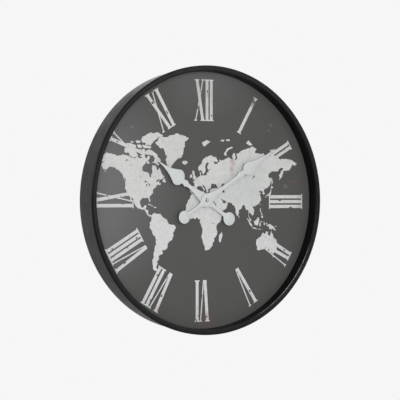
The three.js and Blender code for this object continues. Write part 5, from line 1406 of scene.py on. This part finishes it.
def brackets():
    """The six bent tabs that hold the board in the band."""
    low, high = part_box(TAB_NODE)
    inner = low.x / MM
    outer = high.x / MM
    half = (high.z - low.z) / 2 / MM
    front, rear = depths(TAB_NODE)
    bend = (outer - BRACKET_BEND, front + BRACKET_BEND)
    outline = [(inner, front)]
    outline += arc(bend, BRACKET_BEND, -90, 0, BEND_STEPS)
    outline += [(outer, rear), (outer - BRACKET_SHEET, rear)]
    outline += arc(bend, BRACKET_BEND - BRACKET_SHEET, 0, -90, BEND_STEPS)
    outline += [(inner, front + BRACKET_SHEET)]
    foot_end = AXIS + (inner + CORNER_MARGIN) * MM
    leg_end = FRONT + (rear - CORNER_MARGIN) * MM

    def upright(point, across):
        return place(across, point[1], point[0])

    def at_end(first, second):
        return max(first.z, second.z) < foot_end or min(first.y, second.y) > leg_end

    tab = prism("dial_tabs", outline, upright, -half, half, [ZINC])
    rounded(corners_rounded(tab, at_end, BRACKET_CORNER), SHEET_EDGE)
    return ring_of(tab, len(TABS), FIRST_TAB_ANGLE, CENTRE, ZINC)


def screws():
    """The six pan-head screws with a cross recess, one through each tab."""
    front, rear = depths("bracket_screw_2")
    seat = depths(TAB_NODE)[0] + BRACKET_SHEET
    crown = [(0.0, rear), (SCREW_CROWN, rear), (SCREW_HEAD, rear - SCREW_CROWN_DROP)]
    outline = [(0.0, rear)]
    outline += curve(crown + [(SCREW_HEAD, seat + SCREW_EDGE)], CURVE_STEPS)
    outline += [(SCREW_HEAD, seat), (SCREW_SHANK, seat), (SCREW_SHANK, front + SCREW_POINT), (0.0, front)]
    screw = turned("tab_screws", outline, SCREW_SIDES, round_axis(0.0, SCREW_REACH), [ZINC])
    half = RECESS_WIDTH / 2
    cross = []
    for k in range(RECESS_ARMS):
        angle = -math.radians(RECESS_ANGLE) - TURN * k / RECESS_ARMS
        for across, along in ((half, half), (half, RECESS_REACH), (-half, RECESS_REACH)):
            cross.append(spun(across, along, angle))

    def on_screw(point, depth):
        return place(point[0], depth, SCREW_REACH + point[1])

    cut(screw, prism("recess", cross, on_screw, rear - RECESS_DEPTH, rear + RECESS_SPARE, [ZINC]))
    return ring_of(screw, len(TABS), FIRST_TAB_ANGLE, CENTRE, ZINC)


hand_in(brackets(), "case", "zinc_steel", *["dial_bracket_" + str(tab) for tab in TABS])
hand_in(screws(), "case", "zinc_steel", *["bracket_screw_" + str(tab) for tab in TABS])

HANGER_SHEET = 1.5
HANGER_BEND = 2.6
HANGER_CORNER = 5.0
SLOT_HALF = 2.6
KEYHOLE_RADIUS = 5.5
KEYHOLE_DROP = 13.6
KEYHOLE_SPARE = 2.0


def hanger():
    """The keyhole plate at the top of the band. The top of its slot is level with the model's origin."""
    low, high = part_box("hanger_plate")
    half = high.x / MM
    bottom = (low.z - AXIS) / MM
    top = (high.z - AXIS) / MM
    front, rear = depths("hanger_plate")
    bend = (rear - HANGER_BEND, top - HANGER_BEND)
    outline = [(rear, bottom)]
    outline += arc(bend, HANGER_BEND, 0, 90, BEND_STEPS)
    outline += [(front, top), (front, top - HANGER_SHEET)]
    outline += arc(bend, HANGER_BEND - HANGER_SHEET, 90, 0, BEND_STEPS)
    outline += [(rear - HANGER_SHEET, bottom)]
    plate_end = low.z + CORNER_MARGIN * MM
    leg_end = low.y + CORNER_MARGIN * MM

    def upright(point, across):
        return place(across, point[0], point[1])

    def at_end(first, second):
        return max(first.z, second.z) < plate_end or max(first.y, second.y) < leg_end

    def through(point, depth):
        return place(point[0], depth, point[1])

    plate = prism("keyhole_plate", outline, upright, -half, half, [ZINC])
    corners_rounded(plate, at_end, HANGER_CORNER)
    screw_height = -AXIS / MM
    entry = math.degrees(math.asin(SLOT_HALF / KEYHOLE_RADIUS))
    hole = (0.0, screw_height - KEYHOLE_DROP)
    keyhole = arc(hole, KEYHOLE_RADIUS, 90 + entry, 450 - entry, 2 * ARC_STEPS)
    keyhole += arc((0.0, screw_height - SLOT_HALF), SLOT_HALF, 0, 180, ARC_STEPS)
    cut_from = rear - HANGER_SHEET - KEYHOLE_SPARE
    cutter = prism("keyhole", keyhole, through, cut_from, rear + KEYHOLE_SPARE, [ZINC])
    return rounded(cut(plate, cutter), SHEET_EDGE)


hand_in(hanger(), "case", "zinc_steel", "hanger_plate")


# Movement

KNOB_SIDES = 96
KNOB_BODY = 5.8
KNOB_CHAMFER = 0.3
KNOB_ROUND = 0.5
KNOB_ROUND_REACH = 0.6
KNOB_RIM = 4.2
KNOB_DISH = 3.8
KNOB_DISH_DEPTH = 0.7
KNOB_BOSS = 1.6
KNOB_BOSS_TOP = 1.3
KNOB_BOSS_DEPTH = 0.2
KNOB_RIDGES = 24
RIDGE_FILL = 0.55
RIDGE_SUNK = 0.3
RIDGE_FLANK = 0.55
RIDGE_CREST = 0.25
RIDGE_ROUND = 0.15
RIDGE_FRONT_GAP = 0.25
RIDGE_REAR_GAP = 0.3

# Raised marks on the movement: two arrows round the knob, and the poles of the cell.
ARROW_INNER = 8.6
ARROW_OUTER = 9.6
ARROW_STARTS = (20.0, 200.0)
ARROW_SWEEP = 105.0
ARROW_HEAD = ((-1.6, -0.3), (1.6, -0.3), (0.0, 2.8))
SIGN_HEIGHT = -10.8
SIGN_REACH = 21.0
SIGN_HALF = 2.2
SIGN_STROKE = 0.45
MARK_HEIGHT = 0.25
MARK_SUNK = 0.05

# The outline of the cell from its negative to its positive end: radius or distance inside the sleeve,
# place from the end or shoulder, and the finish of the stretch that follows.
CELL_SIDES = 64
CELL_CAP = 1.5
CAN = 0
SLEEVE = 1
SEAL = 2
CELL_FINISHES = [NICKEL, CELL, CHIP]
NEGATIVE_END = (
    (0.0, 0.25, CAN), (4.6, 0.25, CAN), (5.0, 0.0, CAN), (6.2, 0.0, CAN), (6.6, 0.3, CAN),
    (6.75, 0.7, SLEEVE),
)
SLEEVE_START = ((0.1, 0.75), (0.0, 1.0))
SLEEVE_END = ((0.0, -1.0), (0.1, -0.7))
POSITIVE_SHOULDER = (
    (6.6, -0.4, SLEEVE), (6.2, 0.0, SEAL), (4.2, 0.0, SEAL), (3.9, -0.25, SEAL), (2.85, -0.2, CAN),
    (2.7, 0.0, CAN),
)
POSITIVE_CAP = ((2.65, -0.3, CAN), (2.3, 0.0, CAN), (0.0, 0.0, CAN))


def knob_middle():
    """The place of the setting knob to the right of the dial axis."""
    low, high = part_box("setting_knob")
    return (low.x + high.x) / 2 / MM


def knob():
    """The ridged wheel that sets the hands."""
    low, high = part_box("setting_knob")
    middle = knob_middle()
    outer = (high.z - low.z) / 2 / MM
    front, rear = depths("setting_knob")
    dish = rear - KNOB_DISH_DEPTH
    boss = rear - KNOB_BOSS_DEPTH
    round_start = (KNOB_BODY, rear - KNOB_ROUND)
    outline = [(0.0, front), (KNOB_BODY - KNOB_CHAMFER, front), (KNOB_BODY, front + KNOB_CHAMFER)]
    outline.append(round_start)
    outline += curve([round_start, (KNOB_BODY, rear), (KNOB_BODY - KNOB_ROUND_REACH, rear)], CURVE_STEPS)
    outline += [(KNOB_RIM, rear), (KNOB_DISH, dish), (KNOB_BOSS, dish), (KNOB_BOSS_TOP, boss), (0.0, boss)]
    body = turned("knob_body", outline, KNOB_SIDES, round_axis(middle, 0.0), [SHELL])
    root = KNOB_BODY - RIDGE_SUNK
    half = math.pi * outer / KNOB_RIDGES * RIDGE_FILL
    right = [(half, root), (half * RIDGE_FLANK, outer - RIDGE_ROUND), (half * RIDGE_CREST, outer)]
    section = right + [(-across, up) for across, up in reversed(right)]

    def on_knob(point, depth):
        return place(middle + point[0], depth, point[1])

    ridge = prism("knob_ridge", section, on_knob, front + RIDGE_FRONT_GAP, rear - RIDGE_REAR_GAP, [SHELL])
    ring_of(ridge, KNOB_RIDGES, 0.0, place(middle, 0.0, 0.0), SHELL)
    return joined("ridged_knob", [body, ridge], [SHELL])


def bar(x, z, half_width, half_height):
    """A rectangle on the clock face."""
    return [
        (x - half_width, z - half_height), (x + half_width, z - half_height),
        (x + half_width, z + half_height), (x - half_width, z + half_height),
    ]


def marks():
    """Raised marks on the rear of the movement: two turning arrows round the knob and the cell's poles."""
    middle = knob_middle()
    outlines = []
    for start in ARROW_STARTS:
        end = start + ARROW_SWEEP
        shaft = arc((middle, 0.0), ARROW_OUTER, start, end, ARC_STEPS)
        outlines.append(shaft + arc((middle, 0.0), ARROW_INNER, end, start, ARC_STEPS))
        head = []
        for radial, ahead in ARROW_HEAD:
            x, z = spun((ARROW_INNER + ARROW_OUTER) / 2 + radial, ahead, -math.radians(end))
            head.append((middle + x, z))
        outlines.append(head)
    outlines.append(bar(SIGN_REACH, SIGN_HEIGHT, SIGN_HALF, SIGN_STROKE))
    outlines.append(bar(SIGN_REACH, SIGN_HEIGHT, SIGN_STROKE, SIGN_HALF))
    outlines.append(bar(-SIGN_REACH, SIGN_HEIGHT, SIGN_HALF, SIGN_STROKE))
    points, triangles = filled(outlines, bool)
    rear = depths("movement_cover")[1]
    return slab("movement_marks", points, triangles, rear - MARK_SUNK, rear + MARK_HEIGHT, [MARK])


def cell():
    """The AA cell: a steel can with crimped ends in a thin printed sleeve, and its raised positive cap."""
    low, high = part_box("battery")
    middle = (low + high) / 2
    radius = (high.y - low.y) / 2 / MM
    left = low.x / MM
    right = high.x / MM
    shoulder = right - CELL_CAP
    rows = [(reach, left + along, part) for reach, along, part in NEGATIVE_END]
    rows += [(radius - inset, left + along, SLEEVE) for inset, along in SLEEVE_START]
    rows += [(radius - inset, shoulder + along, SLEEVE) for inset, along in SLEEVE_END]
    rows += [(reach, shoulder + along, part) for reach, along, part in POSITIVE_SHOULDER]
    rows += [(reach, right + along, part) for reach, along, part in POSITIVE_CAP]
    outline = [(reach, along) for reach, along, _ in rows]
    parts = [part for _, _, part in rows]

    def round_cell(reach, along, angle):
        across = reach * MM * math.cos(angle)
        return Vector((along * MM, middle.y + across, middle.z + reach * MM * math.sin(angle)))

    return turned("sleeved_cell", outline, CELL_SIDES, round_cell, CELL_FINISHES, parts)


hand_in(marks(), "case", "movement_plastic")
hand_in(knob(), "setting_motion", "movement_plastic", "setting_knob")
hand_in(cell(), "cell", "cell_sleeve", "battery")

# Fixed parts of the movement whose edges are broken: node, piece, finish, edge and slot.
SOFTENED = (
    ("movement_tray", "movement_shell", SHELL, 0.35, "movement_plastic"),
    ("movement_cover", "movement_back", SHELL, 0.3, "movement_plastic"),
    ("battery_contact_plus", "leaf_contact_plus", NICKEL, 0.08, "nickel"),
    ("battery_contact_minus", "leaf_contact_minus", NICKEL, 0.08, "nickel"),
    ("dial_nut", "hex_dial_nut", BRASS, 0.15, "brass"),
    ("circuit_chip", "resin_chip", CHIP, 0.15, "movement_plastic"),
    ("quartz_crystal", "crystal_can", NICKEL, 0.15, "nickel"),
    ("coil_bobbin", "moulded_bobbin", ACETAL, 0.1, "wheel_plastic"),
)
for node, name, finish, edge, slot in SOFTENED:
    hand_in(softened(name, node, edge, [finish]), "case", slot, node)

# Parts of the model that keep their shape, with the finish of each.
KEPT = {
    "dial_washer": BRASS, "rubber_washer": RUBBER, "hour_hand_bush": BRASS, "minute_hand_bush": BRASS,
    "stator": STEEL, "coil_core": STEEL, "coil_winding": COPPER, "circuit_board": CIRCUIT,
    "minute_arbor": BRASS, "centre_wheel": ACETAL, "third_wheel": ACETAL, "seconds_wheel": ACETAL,
    "fifth_wheel": ACETAL, "rotor_pinion": ACETAL, "rotor_magnet": FERRITE, "minute_wheel": ACETAL,
    "hour_wheel": ACETAL,
}
for node, finish in KEPT.items():
    dress(node, finish)


# Studio, in metres

FLOOR_REACH = 4.5
FLOOR_DROP = 1.7
FLOOR_SIDES = 96
FLOOR_GLOW = 0.32
FLOOR_MIRRORED = 0.09
PALE = grey(0.922)
WHITE = grey(1.0)
AMBIENT = 0.42


def seen_rays(tree):
    """A share that is 1 for what the camera sees, directly, in a reflection or through glass."""
    path = tree.nodes.new("ShaderNodeLightPath")
    share = path.outputs["Is Camera Ray"]
    for other in ("Is Glossy Ray", "Is Transmission Ray"):
        either = tree.nodes.new("ShaderNodeMath")
        either.operation = "MAXIMUM"
        tree.links.new(share, either.inputs[0])
        tree.links.new(path.outputs[other], either.inputs[1])
        share = either.outputs[0]
    return share


def pale_floor():
    """A plain pale round floor well below the clock."""
    finish = Finish("pale_floor", colour=grey(0.85), roughness=0.7)
    finish.colour(finish.mix(finish.noise(scale=3.0, detail=4.0), grey(0.83), grey(0.87)))
    direct = finish.add("ShaderNodeLightPath").outputs["Is Camera Ray"]
    seen = finish.maths("MULTIPLY", seen_rays(finish.tree), FLOOR_MIRRORED)
    glow = finish.maths("ADD", seen, finish.maths("MULTIPLY", direct, FLOOR_GLOW))
    finish.shader.inputs["Emission Color"].default_value = shade(PALE)
    finish.join(glow, finish.shader.inputs["Emission Strength"])
    shape = bmesh.new()
    level = Matrix.Translation((0.0, 0.0, AXIS - FLOOR_DROP))
    bmesh.ops.create_circle(shape, cap_ends=True, segments=FLOOR_SIDES, radius=FLOOR_REACH, matrix=level)
    return finished("floor", shape, [finish.material])


pale_floor()


def pale_world():
    """A pale backdrop for what sees it directly or in a reflection, and an even soft light for the rest."""
    world = bpy.data.worlds.new("studio")
    bpy.context.scene.world = world
    world.use_nodes = True
    tree = world.node_tree
    tree.nodes.clear()
    seen = tree.nodes.new("ShaderNodeBackground")
    seen.inputs["Color"].default_value = shade(PALE)
    soft = tree.nodes.new("ShaderNodeBackground")
    soft.inputs["Color"].default_value = shade(WHITE)
    soft.inputs["Strength"].default_value = AMBIENT
    choice = tree.nodes.new("ShaderNodeMixShader")
    output = tree.nodes.new("ShaderNodeOutputWorld")
    tree.links.new(seen_rays(tree), choice.inputs[0])
    tree.links.new(soft.outputs[0], choice.inputs[1])
    tree.links.new(seen.outputs[0], choice.inputs[2])
    tree.links.new(choice.outputs[0], output.inputs["Surface"])


pale_world()

# Soft lamps: name, place from the dial centre and run of the long side, length and width, power in
# watts, whether the lamp lights surfaces and whether reflections show it.
LAMPS = (
    ("front_softbox", (-1.1, -2.65, 0.2), (1.0, 0.0, 0.0), 2.4, 1.4, 61.5, True, False),
    ("side_softbox", (1.2, -2.45, 0.5), (0.0, 0.0, 1.0), 1.5, 0.9, 14.0, False, True),
    ("rear_strip", (0.95, 2.3, 0.8), (1.0, 0.0, 0.0), 0.6, 0.4, 1.3, True, True),
    ("left_strip", (-2.7, 0.0, 0.75), (0.0, 1.0, 0.0), 1.4, 0.6, 42.0, False, True),
    ("rear_softbox", (2.2, 1.9, 0.35), (0.0, 0.0, 1.0), 1.6, 1.2, 18.0, True, True),
)
for name, offset, run, length, width, power, lighting, mirrored in LAMPS:
    lamp = bpy.data.lights.new(name, "AREA")
    lamp.shape = "RECTANGLE"
    lamp.size = length
    lamp.size_y = width
    lamp.energy = power
    holder = linked(name, lamp)
    back = Vector(offset).normalized()
    side = back.cross(Vector(run)).normalized()
    holder.location = CENTRE + Vector(offset)
    holder.rotation_euler = Matrix((side.cross(back), side, back)).transposed().to_euler()
    holder.visible_camera = False
    holder.visible_diffuse = lighting
    holder.visible_glossy = mirrored

UP = Vector((0.0, 0.0, 1.0))
CARD_PLACE = Vector((-1.23, -1.58, 0.0))
CARD_HALF_WIDTH = 1.05
CARD_HALF_HEIGHT = 1.3


def dark_card():
    """A dark card beside the lamps, which only reflections see: it draws the edges of the black paint."""
    finish = Finish("dark_card", colour=grey(0.02), roughness=0.8, gloss=0.0)
    finish.colour(finish.mix(finish.noise(scale=4.0), grey(0.015), grey(0.025)))
    across = UP.cross(CARD_PLACE).normalized() * CARD_HALF_WIDTH
    up = UP * CARD_HALF_HEIGHT
    shape = bmesh.new()
    middle = CENTRE + CARD_PLACE
    corners = (middle - across - up, middle + across - up, middle + across + up, middle - across + up)
    shape.faces.new([shape.verts.new(corner) for corner in corners])
    card = finished("dark_card", shape, [finish.material])
    card.visible_camera = False
    card.visible_diffuse = False
    card.visible_shadow = False
    return card


dark_card()

CAMERA_AZIMUTH = -32.2
CAMERA_ELEVATION = 0.3
CAMERA_DISTANCE = 3.9
CAMERA_LENS = 157.85
CAMERA_SENSOR = 36.0
CAMERA_SHIFT = (-0.0276, 0.0007)


def camera():
    """The camera at the photograph's angle, aimed at the middle of the front plane."""
    azimuth = math.radians(CAMERA_AZIMUTH)
    elevation = math.radians(CAMERA_ELEVATION)
    level = Vector((math.sin(azimuth), -math.cos(azimuth), 0.0))
    away = level * math.cos(elevation) + UP * math.sin(elevation)
    lens = bpy.data.cameras.new("camera")
    lens.sensor_width = CAMERA_SENSOR
    lens.lens = CAMERA_LENS
    lens.shift_x, lens.shift_y = CAMERA_SHIFT
    holder = linked("camera", lens)
    holder.location = CENTRE + away * CAMERA_DISTANCE
    holder.rotation_euler = (-away).to_track_quat("-Z", "Y").to_euler()
    bpy.context.scene.camera = holder


camera()
bpy.context.scene.view_settings.view_transform = "Standard"
